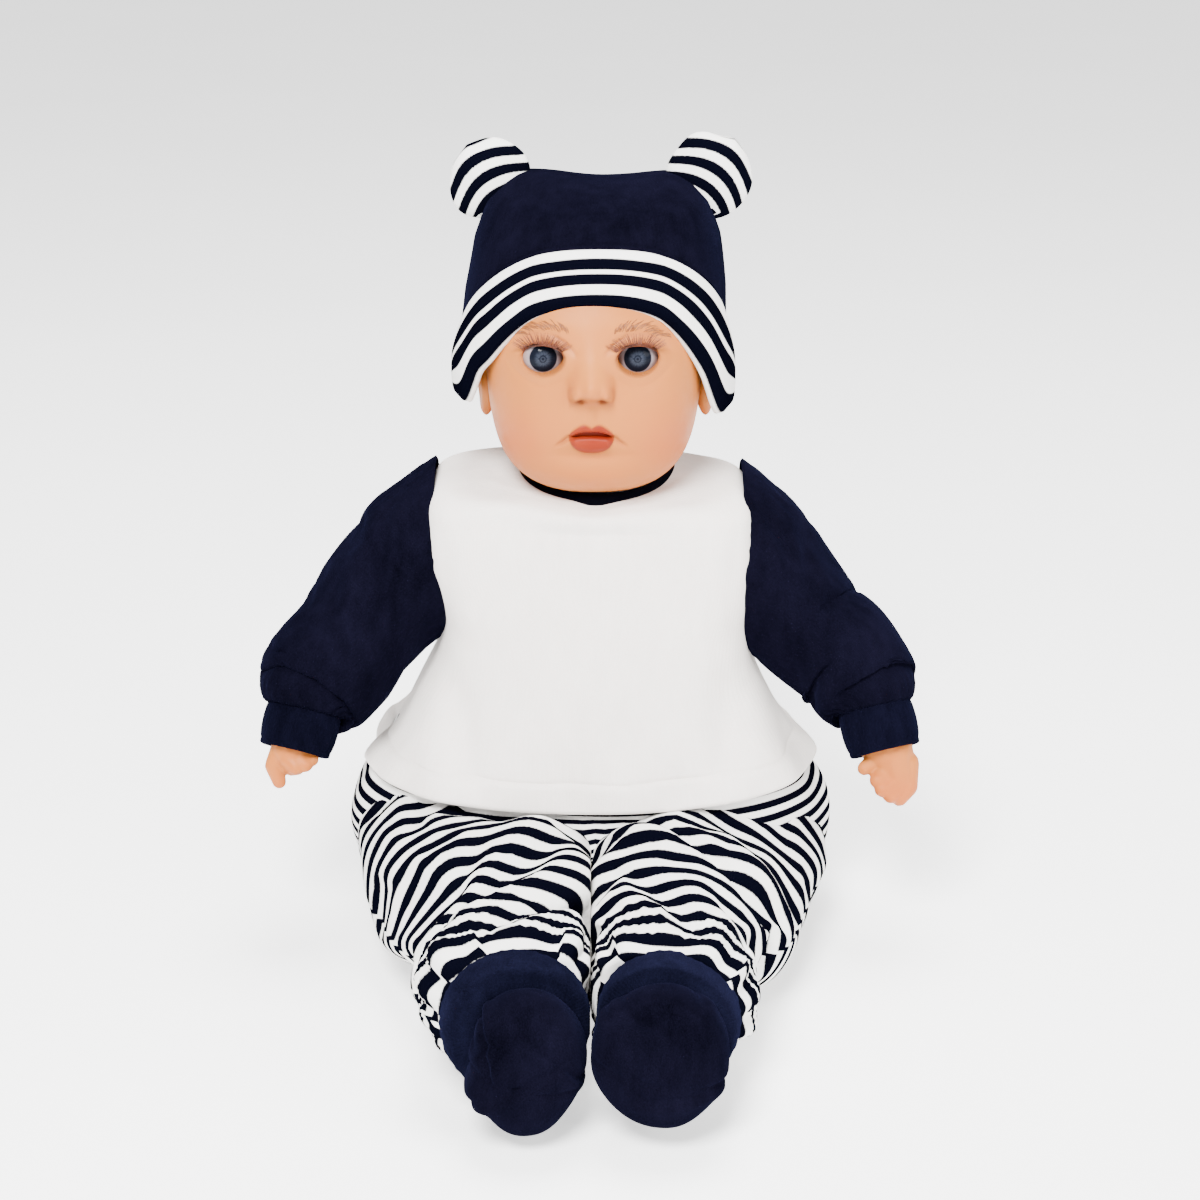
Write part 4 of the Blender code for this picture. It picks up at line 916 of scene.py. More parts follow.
def crumple(obj, held, growth, most, pressure, bending):
    """Cloth between held points: it grows by `growth`, buckles into folds, and is kept as a plain mesh. No
    point moves further than `most`. `held` is 0 to 1 for each point."""
    before = coordinates(obj)
    group = obj.vertex_groups.new(name="held")
    for share in np.unique(np.round(held, 1)):
        if share > 0:
            chosen = np.nonzero(np.round(held, 1) == share)[0]
            group.add([int(i) for i in chosen], float(share), "REPLACE")
    cloth = obj.modifiers.new("cloth", "CLOTH")
    settings = cloth.settings
    settings.quality = 6
    settings.mass = 0.12
    settings.tension_stiffness = settings.compression_stiffness = 25
    settings.shear_stiffness = 12
    settings.bending_stiffness = bending
    settings.air_damping = 4.0
    settings.vertex_group_mass = "held"
    settings.pin_stiffness = 1.0
    settings.shrink_min = settings.shrink_max = -growth
    settings.effector_weights.gravity = 0.0
    settings.use_pressure = True
    settings.uniform_pressure_force = pressure
    cloth.collision_settings.use_collision = False
    scene = bpy.context.scene
    scene.frame_start, scene.frame_end = 1, CRUMPLE_FRAMES
    cloth.point_cache.frame_start, cloth.point_cache.frame_end = 1, CRUMPLE_FRAMES
    for frame_number in range(1, CRUMPLE_FRAMES + 1):
        scene.frame_set(frame_number)
    apply_modifiers(obj)
    scene.frame_set(1)
    obj.vertex_groups.clear()
    moved = coordinates(obj) - before
    far = np.linalg.norm(moved, axis=1, keepdims=True)
    moved *= most * np.tanh(far / most) / np.maximum(far, 1e-9)
    set_coordinates(obj, before + moved)
    return obj


# ================================================================ hat
# rows of (z, half width, front y, back y, squareness)
HAT_TOP = [(0.3762, 0.0330, 0.0060, 0.0180, 2.0), (0.3752, 0.0390, -0.0020, 0.0260, 2.1),
           (0.3710, 0.0460, -0.0150, 0.0410, 2.2), (0.3620, 0.0530, -0.0350, 0.0600, 2.3),
           (0.3450, 0.0590, -0.0530, 0.0760, 2.35), (0.3200, 0.0632, -0.0635, 0.0840, 2.35),
           (0.2900, 0.0660, -0.0672, 0.0875, 2.4), (0.2560, 0.0668, -0.0675, 0.0875, 2.4)]
HAT_SHIFT = 0.0016
HAT_LEAN = 0.0026
FACE_EDGE_FRONT, CROWN_EDGE_FRONT = 0.3338, 0.3598
FACE_EDGE_BACK, CROWN_EDGE_BACK = 0.2655, 0.2905


def hat_outline(z, angle):
    """The hat's outside at height z in the direction `angle` (0 is +X), arrays of one shape."""
    table = np.array(HAT_TOP)[::-1]
    columns = [np.interp(z, table[:, 0], table[:, k]) for k in range(1, 5)]
    across, along = superellipse(angle, 2.0 / columns[3])
    return columns[0] * across, (columns[1] + columns[2]) / 2 + (columns[2] - columns[1]) / 2 * along


def edge_height(angle, front, back, slope, start):
    """Height of a sloping edge round the hat: level at the back, arched over the face."""
    height = np.full(angle.shape, back)
    for _ in range(40):
        _, y = hat_outline(height, angle)
        wanted = front - math.tan(slope) * (y - start)
        wanted = smooth_most([wanted, np.full(angle.shape, back)], 220.0)
        wanted = np.minimum(wanted, front)
        height = 0.6 * height + 0.4 * wanted
    return height


def hat_panel(top, bottom, rows, columns, seed, folds):
    """Rings of the hat's outside from the heights `top` to the heights `bottom`, with soft folds."""
    angle = round_angles(columns)[None, :]
    share = np.linspace(0, 1, rows)[:, None]
    z = top * (1 - share) + bottom * share
    x, y = hat_outline(z, np.broadcast_to(angle, z.shape))
    points = np.stack([x, y, z], axis=-1)
    points = settle_grid(points, 3)
    out = normals_of(points)
    points += out * (folds * random_waves(seed, points * np.array([1, 1, 0.6]), 0.030))[..., None]
    points[..., 0] += HAT_SHIFT + HAT_LEAN * ease(points[..., 2], 0.290, 0.345)
    return points


def settle_grid(points, times):
    """Evens out small corners of a grid of points, but not its first and last rows."""
    for _ in range(times):
        around = (np.roll(points, 1, axis=1) + np.roll(points, -1, axis=1)) / 2
        points[1:-1] = 0.5 * points[1:-1] + 0.25 * around[1:-1] + 0.125 * (points[:-2] + points[2:])
    return points


def make_hat():
    columns, crown_rows, brim_rows = 200, 84, 34
    angle = round_angles(columns)
    seam = edge_height(angle, CROWN_EDGE_FRONT, CROWN_EDGE_BACK, math.radians(50), -0.0600)
    rim = edge_height(angle, FACE_EDGE_FRONT, FACE_EDGE_BACK, math.radians(62), -0.0650)
    raised = 0.0060 * ease(-np.cos(angle), 0.2, 1.0)
    rim = rim + raised * ease(-rim, -0.300, -0.282)
    top = np.full(columns, HAT_TOP[0][0])
    points = hat_panel(top[None, :], seam[None, :], crown_rows, columns, 3, 0.0009)
    # close the top along a ridge seam, with a shallow saddle between the ears
    middle = points[0].copy()
    mirror = (columns - np.arange(columns)) % columns
    ridge = np.stack([(middle[:, 0] + middle[mirror, 0]) / 2, np.full(columns, 0.0120),
                      (middle[:, 2] + middle[mirror, 2]) / 2 + 0.0006], axis=-1)
    first = (ridge + middle) / 2
    first[:, 2] += 0.0003
    points = np.concatenate([ridge[None], first[None], points])
    saddle = bell(points[..., 0] - HAT_LEAN, 0.015) * ease(points[..., 2], 0.350, 0.376)
    points[..., 2] -= 0.0026 * saddle
    stitch = bell(points[..., 2] - seam[None, :] - 0.0030, 0.0006)
    out = normals_of(points)
    points[2:-1] -= (out * (0.0005 * stitch)[..., None])[2:-1]
    crown = rings_to_mesh("hat_crown_cloth", points, uv=metric_uv(points))
    recalculate(crown, 0.00005)
    thicken(crown, CLOTH_WALL)
    finished(crown, "navy", "hat", ("hat_crown",))

    points = hat_panel(seam[None, :], rim[None, :], brim_rows, columns, 5, 0.0004)
    share = np.linspace(0, 1, brim_rows)[:, None]
    out = normals_of(points)
    roll = 0.0012 * np.sin(math.pi * share) ** 0.5 - 0.0016 * ease(share, 0.93, 1.0)
    points += out * (roll + 0.0004)[..., None]
    lining = points[-1:] - out[-1:] * 0.0028 + np.array([0, 0, 0.0035])
    points = np.concatenate([points, points[-1:] - out[-1:] * 0.0014 - np.array([0, 0, 0.0006]), lining])
    u = np.linspace(0, 0.44, columns + 1)
    v = np.concatenate([np.linspace(0, 1.0, brim_rows), [1.04, 1.15]])
    brim = rings_to_mesh("hat_brim_cloth", points, uv=np.stack(np.meshgrid(u, v), axis=-1))
    thicken(brim, CLOTH_WALL)
    finished(brim, "brim", "hat", ("hat_brim",))
    for side_name, side in SIDES:
        make_hat_ear(side_name, side)


def make_hat_ear(side_name, side):
    """A stuffed round ear, gathered where it is sewn into the corner of the crown."""
    wide, tall, deep = (0.0212, 0.0205, 0.0098) if side > 0 else (0.0205, 0.0188, 0.0095)
    base = Vector((0.0470, 0.0130, 0.3572)) if side > 0 else Vector((-0.0385, 0.0130, 0.3568))
    lean = side * math.radians(34)
    rows, columns = 54, 96
    share = np.linspace(0, 1, rows)[:, None]
    angle = round_angles(columns)[None, :]
    height = -0.0035 + (2 * tall + 0.0035) * (1 - np.cos(math.pi * share)) / 2
    profile = np.sqrt(np.clip(1 - ((height - tall) / (tall * 1.002)) ** 2, 0, 1))
    neck = 0.62 * ease(-height, -0.013, 0.0)
    width = np.where(height > tall, profile, np.maximum(profile, neck))
    thick = np.maximum(profile ** 0.8, 0.55 * neck)
    gathers = 1 + 0.10 * np.cos(11 * angle + 0.8) * ease(-height, -0.012, 0.002)
    x = wide * width * np.cos(angle)
    y = deep * thick * np.sin(angle) * gathers * (1 - 0.10 * np.cos(2 * angle))
    z = np.broadcast_to(height, x.shape) - 0.0015 * np.cos(angle) ** 2
    points = np.stack([x, y, z], axis=-1)
    points += normals_of(points) * (0.0007 * random_waves(21 + int(side), points, 0.012))[..., None]
    arc = np.broadcast_to(height, x.shape) + 0.42 * (x / wide) ** 2 * tall
    pleat = np.floor((angle + 0.3) / (2 * math.pi) * 17) * 2.399
    offset = 0.0046 * np.sign(np.sin(pleat)) * ease(-height, -0.0085, -0.0075)
    v = arc + offset + (0.0040 if side < 0 else 0.0)
    u = np.broadcast_to(angle * wide, x.shape)
    uv = np.stack([np.concatenate([u, u[:, :1] + 2 * math.pi * wide], axis=1),
                   np.concatenate([v, v[:, :1]], axis=1)], axis=-1)
    ear = rings_to_mesh(f"hat_ear_cloth_{side_name}", points, uv=uv, capped=True)
    ear.data.transform(Matrix.Translation(base) @ Matrix.Rotation(lean, 4, "Y"))
    finished(ear, "ear_stripes", "hat", (f"hat_ear_{side_name}",))


# ================================================================ shirt
# rows of (z, half width, front y, back y, squareness)
BODICE = [(0.2308, 0.0540, -0.0350, 0.0390, 2.5), (0.2296, 0.0650, -0.0405, 0.0430, 3.0),
          (0.2262, 0.0745, -0.0460, 0.0475, 4.0), (0.2190, 0.0778, -0.0495, 0.0505, 5.2),
          (0.2100, 0.0785, -0.0510, 0.0515, 5.6), (0.1900, 0.0790, -0.0530, 0.0525, 5.2),
          (0.1720, 0.0770, -0.0560, 0.0530, 4.2), (0.1580, 0.0745, -0.0590, 0.0540, 3.4),
          (0.1430, 0.0765, -0.0635, 0.0565, 2.9), (0.1200, 0.0860, -0.0710, 0.0640, 2.6),
          (0.0980, 0.0985, -0.0805, 0.0750, 2.35), (0.0880, 0.1065, -0.0845, 0.0790, 2.25),
          (0.0825, 0.1100, -0.0865, 0.0815, 2.2)]
NECK_OPENING = (0.0365, -0.0400, 0.0385)
NECK_MIDDLE_X = 0.0030


def neck_ring(columns, grow):
    """The neckline's oval, lower at the front than at the sides and back."""
    angle = round_angles(columns)
    half_w, front, back = NECK_OPENING
    x = NECK_MIDDLE_X + (half_w + grow) * np.cos(angle)
    y = (front + back) / 2 + ((back - front) / 2 + grow) * np.sin(angle)
    z = 0.2322 - 0.0078 * ease(-np.sin(angle), 0.05, 1.0)
    return np.stack([x, y, z], axis=-1)


def drag_lines(points):
    """Soft creases of the shirt: from the armpits down to the hem's sides, below the collar and the chin, and
    a few upright ones towards the hem."""
    x, y, z = points[..., 0], points[..., 1], points[..., 2]
    front = ease(-y, 0.0, 0.03)
    relief = np.zeros(x.shape)
    for side in (1.0, -1.0):
        lateral = side * x
        along = ease(-z, -0.150, -0.120) * ease(z, 0.082, 0.100)
        fold_x = 0.0715 - 0.10 * (0.150 - z) * (1 if side < 0 else -0.10)
        relief -= 0.0034 * bell(lateral - fold_x + 0.006, 0.0065) * along * front
        relief += 0.0020 * bell(lateral - fold_x - 0.010, 0.0070) * along * front
        upper = ease(-z, -0.222, -0.200) * ease(z, 0.150, 0.172)
        relief -= 0.0011 * bell(lateral - 0.0690, 0.0040) * upper * front
    hem = ease(-z, -0.115, -0.088)
    relief += 0.0027 * hem * random_waves(31, np.stack([x, y], axis=-1), 0.024)
    relief += 0.0016 * ease(-z, -0.19, -0.12) * random_waves(32, np.stack([x, y, 0.35 * z], axis=-1), 0.034)
    relief -= 0.0017 * hill(x + 0.052, z - 0.2290, 0.014, 0.0030) * front
    relief += 0.0012 * hill(x + 0.050, z - 0.2235, 0.014, 0.0032) * front
    relief -= 0.0012 * hill(x - 0.052, z - 0.2285, 0.013, 0.0030) * front
    relief -= 0.0013 * hill(x - 0.002, z - 0.2215, 0.005, 0.0032) * front
    return relief


def make_shirt():
    columns, side_rows = 220, 170
    walls = level_rings(BODICE, side_rows, columns)
    collar = bell(walls[..., 0], 0.030) * ease(-walls[..., 1], 0.0, 0.02)
    walls[..., 1] -= 0.0085 * collar * ease(walls[..., 2], 0.2140, 0.2308)
    front_dip = 0.0085 * bell(walls[..., 0] - NECK_MIDDLE_X, 0.030)
    walls[..., 2] -= front_dip * ease(-walls[..., 1], 0.020, 0.040) * ease(walls[..., 2], 0.200, 0.228)
    walls[..., 2] -= 0.0032 * ease(walls[..., 0], 0.015, 0.060) * ease(walls[..., 2], 0.205, 0.226)
    inner = neck_ring(columns, 0.0)
    top = [inner * (1 - share) + walls[0] * share for share in np.linspace(0, 1, 10)[:-1]]
    points = np.concatenate([np.array(top), walls])
    points = settle_grid(points, 4)
    points[..., 0] += 0.0036 * bell(points[..., 2] - 0.156, 0.016)
    out = normals_of(points)
    points += out * drag_lines(points)[..., None]
    z = points[..., 2]
    points -= out * (0.0012 * bell(z - 0.0945, 0.0008))[..., None]
    points += out * (0.0009 * ease(-z, -0.0950, -0.0935))[..., None]
    uv = metric_uv(points)
    hem_turn = points[-1] - out[-1] * 0.0016
    inside = points[-6] - out[-6] * 0.0030
    points = np.concatenate([points, hem_turn[None], inside[None]])
    uv = np.concatenate([uv, uv[-1:] + np.array([0, 0.002]), uv[-1:] + np.array([0, 0.012])])
    shirt = rings_to_mesh("shirt_cloth", points, uv=uv)
    thicken(shirt, CLOTH_WALL * 0.8)
    finished(shirt, "white", "torso", ("shirt_bodice", "torso_body"))
    make_binding()


def make_binding():
    columns, steps = 160, 12
    centre = neck_ring(columns, 0.0006)
    outward = centre - centre.mean(axis=0)
    outward[:, 2] = 0
    outward /= np.linalg.norm(outward, axis=1, keepdims=True)
    rings = []
    for k in range(steps):
        angle = 2 * math.pi * k / steps
        thick, tall = 0.0014 * math.cos(angle), 0.0029 * math.sin(angle)
        rings.append(centre + outward * (thick - 0.45 * tall) + np.array([0, 0, tall + 0.0016]))
    points = np.array(rings + [rings[0]])
    u = np.linspace(0, 0.22, columns + 1)
    v = np.linspace(0, 0.010, steps + 1)
    binding = rings_to_mesh("neckline_binding_knit", points, uv=np.stack(np.meshgrid(v, u), axis=-1)
                       .transpose(1, 0, 2))
    recalculate(binding, 0.00002)
    finished(binding, "binding", "torso", ("neckline_binding",))


# ================================================================ sleeves, cuffs and hands
WRIST = np.array([0.1440, -0.0530, 0.1040])
ELBOW = np.array([0.1330, -0.0340, 0.1460])
FOREARM_WAY = (WRIST - ELBOW) / np.linalg.norm(WRIST - ELBOW)
CUFF_START = WRIST - FOREARM_WAY * 0.0205
CUFF_LENGTH, CUFF_R = 0.0220, 0.0178
ARMHOLE = np.array([0.0755, 0.0, 0.1920])
ARMHOLE_HALF_W, ARMHOLE_HALF_H = 0.0400, 0.0422
# stations of (x, y, z, half width, half height) along each sleeve
SLEEVE = [(0.0678, 0.0, 0.1983, 0.0385, 0.0350), (0.0807, -0.0035, 0.1853, 0.0365, 0.0332),
          (0.0910, -0.0085, 0.1735, 0.0335, 0.0310), (0.1095, -0.0180, 0.1545, 0.0295, 0.0282),
          (0.1288, -0.0300, 0.1400, 0.0284, 0.0280)]
SLIM_SLEEVE = [(0.0720, 0.0, 0.1965, 0.0385, 0.0360), (0.0849, -0.0035, 0.1834, 0.0365, 0.0342),
               (0.0978, -0.0095, 0.1710, 0.0335, 0.0320), (0.1105, -0.0185, 0.1570, 0.0305, 0.0298),
               (0.1250, -0.0300, 0.1410, 0.0288, 0.0282)]
SLEEVE_END = [(0.1362, -0.0400, 0.1272, 0.0252, 0.0247),
              (*(CUFF_START - FOREARM_WAY * 0.0010), 0.0212, 0.0205),
              (*(CUFF_START + FOREARM_WAY * 0.0010), 0.0186, 0.0182)]


def armhole(columns, side):
    """The upright oval where the sleeve leaves the shirt."""
    angles = round_angles(columns)
    ring = np.stack([np.zeros(columns), ARMHOLE_HALF_W * np.cos(angles), ARMHOLE_HALF_H * np.sin(angles)],
                    axis=-1)
    return (ARMHOLE + ring) * np.array([side, 1.0, 1.0])


def make_arm(side_name, side):
    rows, columns = 110, 110
    stations = (SLEEVE if side > 0 else SLIM_SLEEVE) + SLEEVE_END
    points = oval_tube(stations, rows, columns, np.array([0.0, 1.0, 0.0]), side)
    share = np.linspace(0, 1, rows)[:, None]
    turned = ease(share, 0.0, 0.16)[..., None]
    points = armhole(columns, side) * (1 - turned) + points * turned
    out = normals_of(points)
    angle = round_angles(columns)[None, :]
    free = ease(share, 0.06, 0.20) * ease(1 - share, 0.015, 0.06)
    points += out * (0.0016 * free * random_waves(40 + int(side), points, 0.030))[..., None]
    gathers = np.sin(angle * 23 + 0.9 * side + 1.5 * np.sin(3 * angle))
    points += out * (0.0003 * gathers * ease(share, 0.93, 0.975) * ease(1 - share, 0.0, 0.01))[..., None]
    sleeve = rings_to_mesh(f"sleeve_cloth_{side_name}", points, uv=metric_uv(points))
    held = np.broadcast_to(1 - ease(share, 0.04, 0.14) * ease(1 - share, 0.0, 0.03), points.shape[:2]).ravel()
    crumple(sleeve, held, 0.055, most=0.0045, pressure=0.05, bending=9.0)
    thicken(sleeve, CLOTH_WALL)
    finished(sleeve, "navy", None, (f"sleeve_{side_name}", f"arm_stuffing_{side_name}"))
    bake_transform(sleeve)
    make_cuff(side_name, side)


def make_cuff(side_name, side):
    """A doubled rib-knit band: a rounded fold at the hand, a little fuller in the middle."""
    rows, columns = 30, 132
    outline = []
    for k in range(rows):
        share = k / (rows - 1)
        if share < 0.72:
            t = share / 0.72
            along, radius = t * CUFF_LENGTH, CUFF_R + 0.0014 * math.sin(math.pi * min(t * 1.1, 1)) ** 0.6
        else:
            t = (share - 0.72) / 0.28
            along = CUFF_LENGTH + 0.0012 * math.sin(math.pi * t) - 0.0100 * max(t - 0.5, 0) * 2
            radius = CUFF_R - 0.0032 * ease(np.array(t), 0.0, 0.8)
        middle = CUFF_START - FOREARM_WAY * 0.0002 + FOREARM_WAY * along
        outline.append((*middle, radius * 1.02, radius * 0.97))
    centres = np.array(outline)
    wide = np.array([0.0, 1.0, 0.0]) - FOREARM_WAY[1] * FOREARM_WAY
    wide /= np.linalg.norm(wide)
    high = np.cross(FOREARM_WAY, wide)
    angles = round_angles(columns)
    ribs = 1 + 0.010 * np.cos(angles * 44)[None, :]
    points = (centres[:, None, :3] + wide * (centres[:, 3:4] * np.cos(angles) * ribs)[..., None]
              + high * (centres[:, 4:5] * np.sin(angles) * ribs)[..., None])
    points[..., 0] *= side
    cuff = rings_to_mesh(f"cuff_knit_{side_name}", points, uv=metric_uv(points))
    recalculate(cuff)
    finished(cuff, "cuff", f"arm_{side_name}", (f"cuff_{side_name}",))


# Parts of each hand, drawn on the left side: start, end, radius at the start and at the end.
HANDS = {
    1.0: (((0.1388, -0.0440, 0.1240), (0.1440, -0.0530, 0.1040), 0.0128, 0.0122),    # wrist
          ((0.1470, -0.0540, 0.1010), (0.1500, -0.0560, 0.0905), 0.0118, 0.0092),    # palm
          ((0.1548, -0.0555, 0.0960), (0.1552, -0.0580, 0.0850), 0.0066, 0.0056),    # fingers
          ((0.1552, -0.0590, 0.0850), (0.1512, -0.0625, 0.0808), 0.0052, 0.0044),
          ((0.1515, -0.0600, 0.0858), (0.1468, -0.0650, 0.0830), 0.0050, 0.0042),
          ((0.1470, -0.0610, 0.0890), (0.1425, -0.0650, 0.0862), 0.0050, 0.0041),
          ((0.1435, -0.0600, 0.0930), (0.1400, -0.0640, 0.0905), 0.0048, 0.0040),
          ((0.1410, -0.0560, 0.0990), (0.1338, -0.0610, 0.0955), 0.0050, 0.0036)),   # thumb
    -1.0: (((0.1388, -0.0440, 0.1240), (0.1440, -0.0530, 0.1040), 0.0128, 0.0118),   # wrist
           ((0.1450, -0.0545, 0.1030), (0.1450, -0.0560, 0.0985), 0.0112, 0.0086),   # palm
           ((0.1510, -0.0560, 0.1035), (0.1545, -0.0585, 0.0960), 0.0052, 0.0044),   # fingers
           ((0.1545, -0.0585, 0.0960), (0.1518, -0.0590, 0.0878), 0.0044, 0.0036),
           ((0.1470, -0.0610, 0.1005), (0.1430, -0.0640, 0.0975), 0.0050, 0.0042),
           ((0.1420, -0.0600, 0.1015), (0.1385, -0.0635, 0.0985), 0.0047, 0.0040),
           ((0.1385, -0.0575, 0.1030), (0.1355, -0.0605, 0.1000), 0.0044, 0.0037))}


def capsule(bm, start, end, r_start, r_end):
    steps = 10
    for k in range(steps + 1):
        t = k / steps
        bmesh.ops.create_icosphere(bm, subdivisions=2, radius=r_start * (1 - t) + r_end * t,
                                   matrix=Matrix.Translation(start.lerp(end, t)))


def make_hand(side_name, side):
    """A chubby vinyl hand: wrist, palm and curled fingers, melted together by a fine remesh."""
    bm = bmesh.new()
    for start, end, r_start, r_end in HANDS[side]:
        capsule(bm, Vector((side * start[0], *start[1:])), Vector((side * end[0], *end[1:])), r_start, r_end)
    mesh = bpy.data.meshes.new(f"hand_{side_name}")
    bm.to_mesh(mesh)
    bm.free()
    hand = linked(f"hand_{side_name}", mesh)
    remesh = hand.modifiers.new("melt", "REMESH")
    remesh.mode, remesh.voxel_size = "VOXEL", 0.0007
    soften = hand.modifiers.new("soften", "SMOOTH")
    soften.factor, soften.iterations = 0.5, 9
    apply_modifiers(hand)
    hand.data.shade_smooth()
    points = coordinates(hand)
    colours = np.tile(np.array(SKIN), (len(points), 1))
    tips = np.clip((0.0960 - points[:, 2]) / 0.012, 0, 1)[:, None] * 0.30
    creases = np.clip((-points[:, 1] - 0.0600) / 0.006, 0, 1)[:, None] * 0.18
    amount = np.clip(tips + creases + 0.06, 0, 0.45)
    paint_points(hand, colours * (1 - amount) + np.array(BLUSH) * amount)
    finished(hand, "skin", f"forearm_{side_name}", (f"forearm_{side_name}",))


# ================================================================ trousers
# stations of (x, y, z, half width, half height) along the leg
LEG = [(0.0600, 0.0120, 0.0390, 0.0540, 0.0320), (0.0620, -0.0020, 0.0395, 0.0545, 0.0340),
       (0.0618, -0.0150, 0.0400, 0.0533, 0.0350), (0.0578, -0.0450, 0.0400, 0.0538, 0.0352),
       (0.0534, -0.0750, 0.0405, 0.0514, 0.0358), (0.0492, -0.1000, 0.0425, 0.0482, 0.0372),
       (0.0452, -0.1300, 0.0440, 0.0442, 0.0370), (0.0416, -0.1600, 0.0440, 0.0406, 0.0350),
       (0.0388, -0.1900, 0.0450, 0.0378, 0.0325), (0.0370, -0.2150, 0.0470, 0.0365, 0.0290),
       (0.0345, -0.2290, 0.0475, 0.0305, 0.0255)]
# creases on each leg, drawn on the left side: start, end, width, depth
CREASES = {1.0: [((0.0172, -0.1300), (0.0044, -0.1660), 0.0050, 0.0030),
                 ((0.0201, -0.1534), (0.0501, -0.2115), 0.0060, 0.0040),
                 ((0.0700, -0.0750), (0.0950, -0.1150), 0.0070, 0.0034),
                 ((0.0250, -0.0900), (0.0800, -0.1500), 0.0075, 0.0030)],
           -1.0: [((0.0358, -0.0748), (0.0680, -0.1661), 0.0070, 0.0046),
                  ((0.0019, -0.1660), (0.0458, -0.2115), 0.0060, 0.0042),
                  ((0.0200, -0.1150), (0.0700, -0.2000), 0.0070, 0.0026),
                  ((0.0800, -0.0600), (0.0930, -0.1350), 0.0070, 0.0030)]}
# centre and reach of each foot, drawn on the left side
FOOT = {1.0: ((0.0312, -0.2600, 0.0402), (0.0296, 0.0240, 0.0312)),
        -1.0: ((0.0262, -0.2600, 0.0376), (0.0250, 0.0238, 0.0322))}


def creases(points, side):
    """Long folds over the top of a leg, each a groove with a swell beside it."""
    relief = np.zeros(points.shape[:2])
    place = np.stack([points[..., 0] * side, points[..., 1]], axis=-1)
    above = ease(points[..., 2], 0.030, 0.055)
    for start, end, width, depth in CREASES[side]:
        start, end = np.array(start), np.array(end)
        way = end - start
        length = np.linalg.norm(way)
        way = way / length
        along = (place - start) @ way / length
        off = (place - start) @ np.array([way[1], -way[0]])
        fade = ease(along, -0.25, 0.15) * ease(1 - along, -0.25, 0.15)
        groove = -depth * bell(off, width) + 0.75 * depth * bell(off - 1.9 * width, 1.3 * width)
        relief += groove * fade * above
    return relief


def make_leg(side_name, side):
    rows, columns = 170, 150
    points = oval_tube(LEG, rows, columns, np.array([1.0, 0.0, 0.0]), side, 2.3, 1.5)
    share = np.linspace(0, 1, rows)[:, None]
    angle = round_angles(columns)[None, :]
    # the tubes meet at the middle and rest flat on the floor
    x = points[..., 0] * side
    near = 0.0012 + 0.0008 * np.sin(40 * points[..., 1])
    x = np.where(x < near + 0.006, near + 0.006 * np.exp((x - near - 0.006) / 0.006), x)
    points[..., 0] = x * side
    out = normals_of(points)
    free = ease(share, 0.05, 0.18) * ease(1 - share, 0.01, 0.05)
    crossing = points * np.array([1.0, 0.75, 1.0])
    folds = (0.0030 * random_waves(50 + int(side), crossing, 0.030)
             + 0.0006 * random_waves(60 + int(side), crossing, 0.014))
    folds = folds + creases(points, side)
    points += out * (free * folds)[..., None]
    gathers = np.sin(angle * 10 + 1.3 * side + 1.6 * np.sin(2 * angle))
    points += out * (0.0019 * gathers * ease(share, 0.84, 0.95) * ease(1 - share, 0.0, 0.012))[..., None]
    bottom = points[..., 2]
    points[..., 2] = np.where(bottom < 0.0045, 0.0012 + 0.0033 * np.exp((bottom - 0.0045) / 0.0033), bottom)
    uv = metric_uv(points)
    low, high = uv[..., 0], uv[..., 1]
    full = np.concatenate([angle, [[2 * math.pi]]], axis=1)
    behind = np.where((full > math.radians(200)) & (full < math.radians(352)), 1.0, 0.0)
    wander = random_waves(70 + int(side), on_cylinder(full, 0.04, high), 0.030)
    high = high + 0.0013 * wander + STRIPE_REPEAT / 2 * behind
    pleat = np.floor((full + 0.2) / (2 * math.pi) * 8)
    jump = STRIPE_REPEAT / 2 * (np.sin(pleat * 2.6 + side) > 0) * ease(share, 0.925, 0.931)
    uv = np.stack([low, high + jump], axis=-1)
    held = np.broadcast_to(1 - ease(share, 0.04, 0.14) * ease(1 - share, 0.03, 0.20), points.shape[:2])
    middle = points[-1].mean(axis=0)
    ends = np.array([middle + (points[-1] - middle) * size + np.array([0, 0.001 * k, 0])
                     for k, size in enumerate((0.93, 0.86, 0.79))])
    points = np.concatenate([points, ends])
    uv = np.concatenate([uv] + [uv[-1:] + np.array([0, 0.002 * (k + 1)]) for k in range(3)])
    held = np.concatenate([held, np.ones((3, columns))]).ravel()
    leg = rings_to_mesh(f"trouser_cloth_{side_name}", points, uv=uv)
    crumple(leg, held, 0.070, most=0.0065, pressure=0.15, bending=12.0)
    placed = coordinates(leg)
    placed[:, 2] = np.maximum(placed[:, 2], 0.0010)
    placed[:, 0] = side * np.maximum(placed[:, 0] * side, 0.0009)
    set_coordinates(leg, placed)
    thicken(leg, CLOTH_WALL)
    finished(leg, "stripes", None,
             (f"trousers_leg_{side_name}", f"leg_stuffing_{side_name}"))
    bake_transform(leg)


# rows of (z, half width, front y, back y, squareness)
SEAT = [(0.1020, 0.0945, -0.0740, 0.0655, 2.2), (0.0900, 0.1030, -0.0785, 0.0700, 2.2),
        (0.0800, 0.1100, -0.0805, 0.0745, 2.2), (0.0680, 0.1175, -0.0795, 0.0780, 2.2),
        (0.0500, 0.1215, -0.0750, 0.0800, 2.2), (0.0300, 0.1190, -0.0680, 0.0795, 2.2),
        (0.0110, 0.1080, -0.0600, 0.0740, 2.2), (0.0035, 0.0950, -0.0540, 0.0665, 2.2),
        (0.0010, 0.0820, -0.0480, 0.0580, 2.2)]


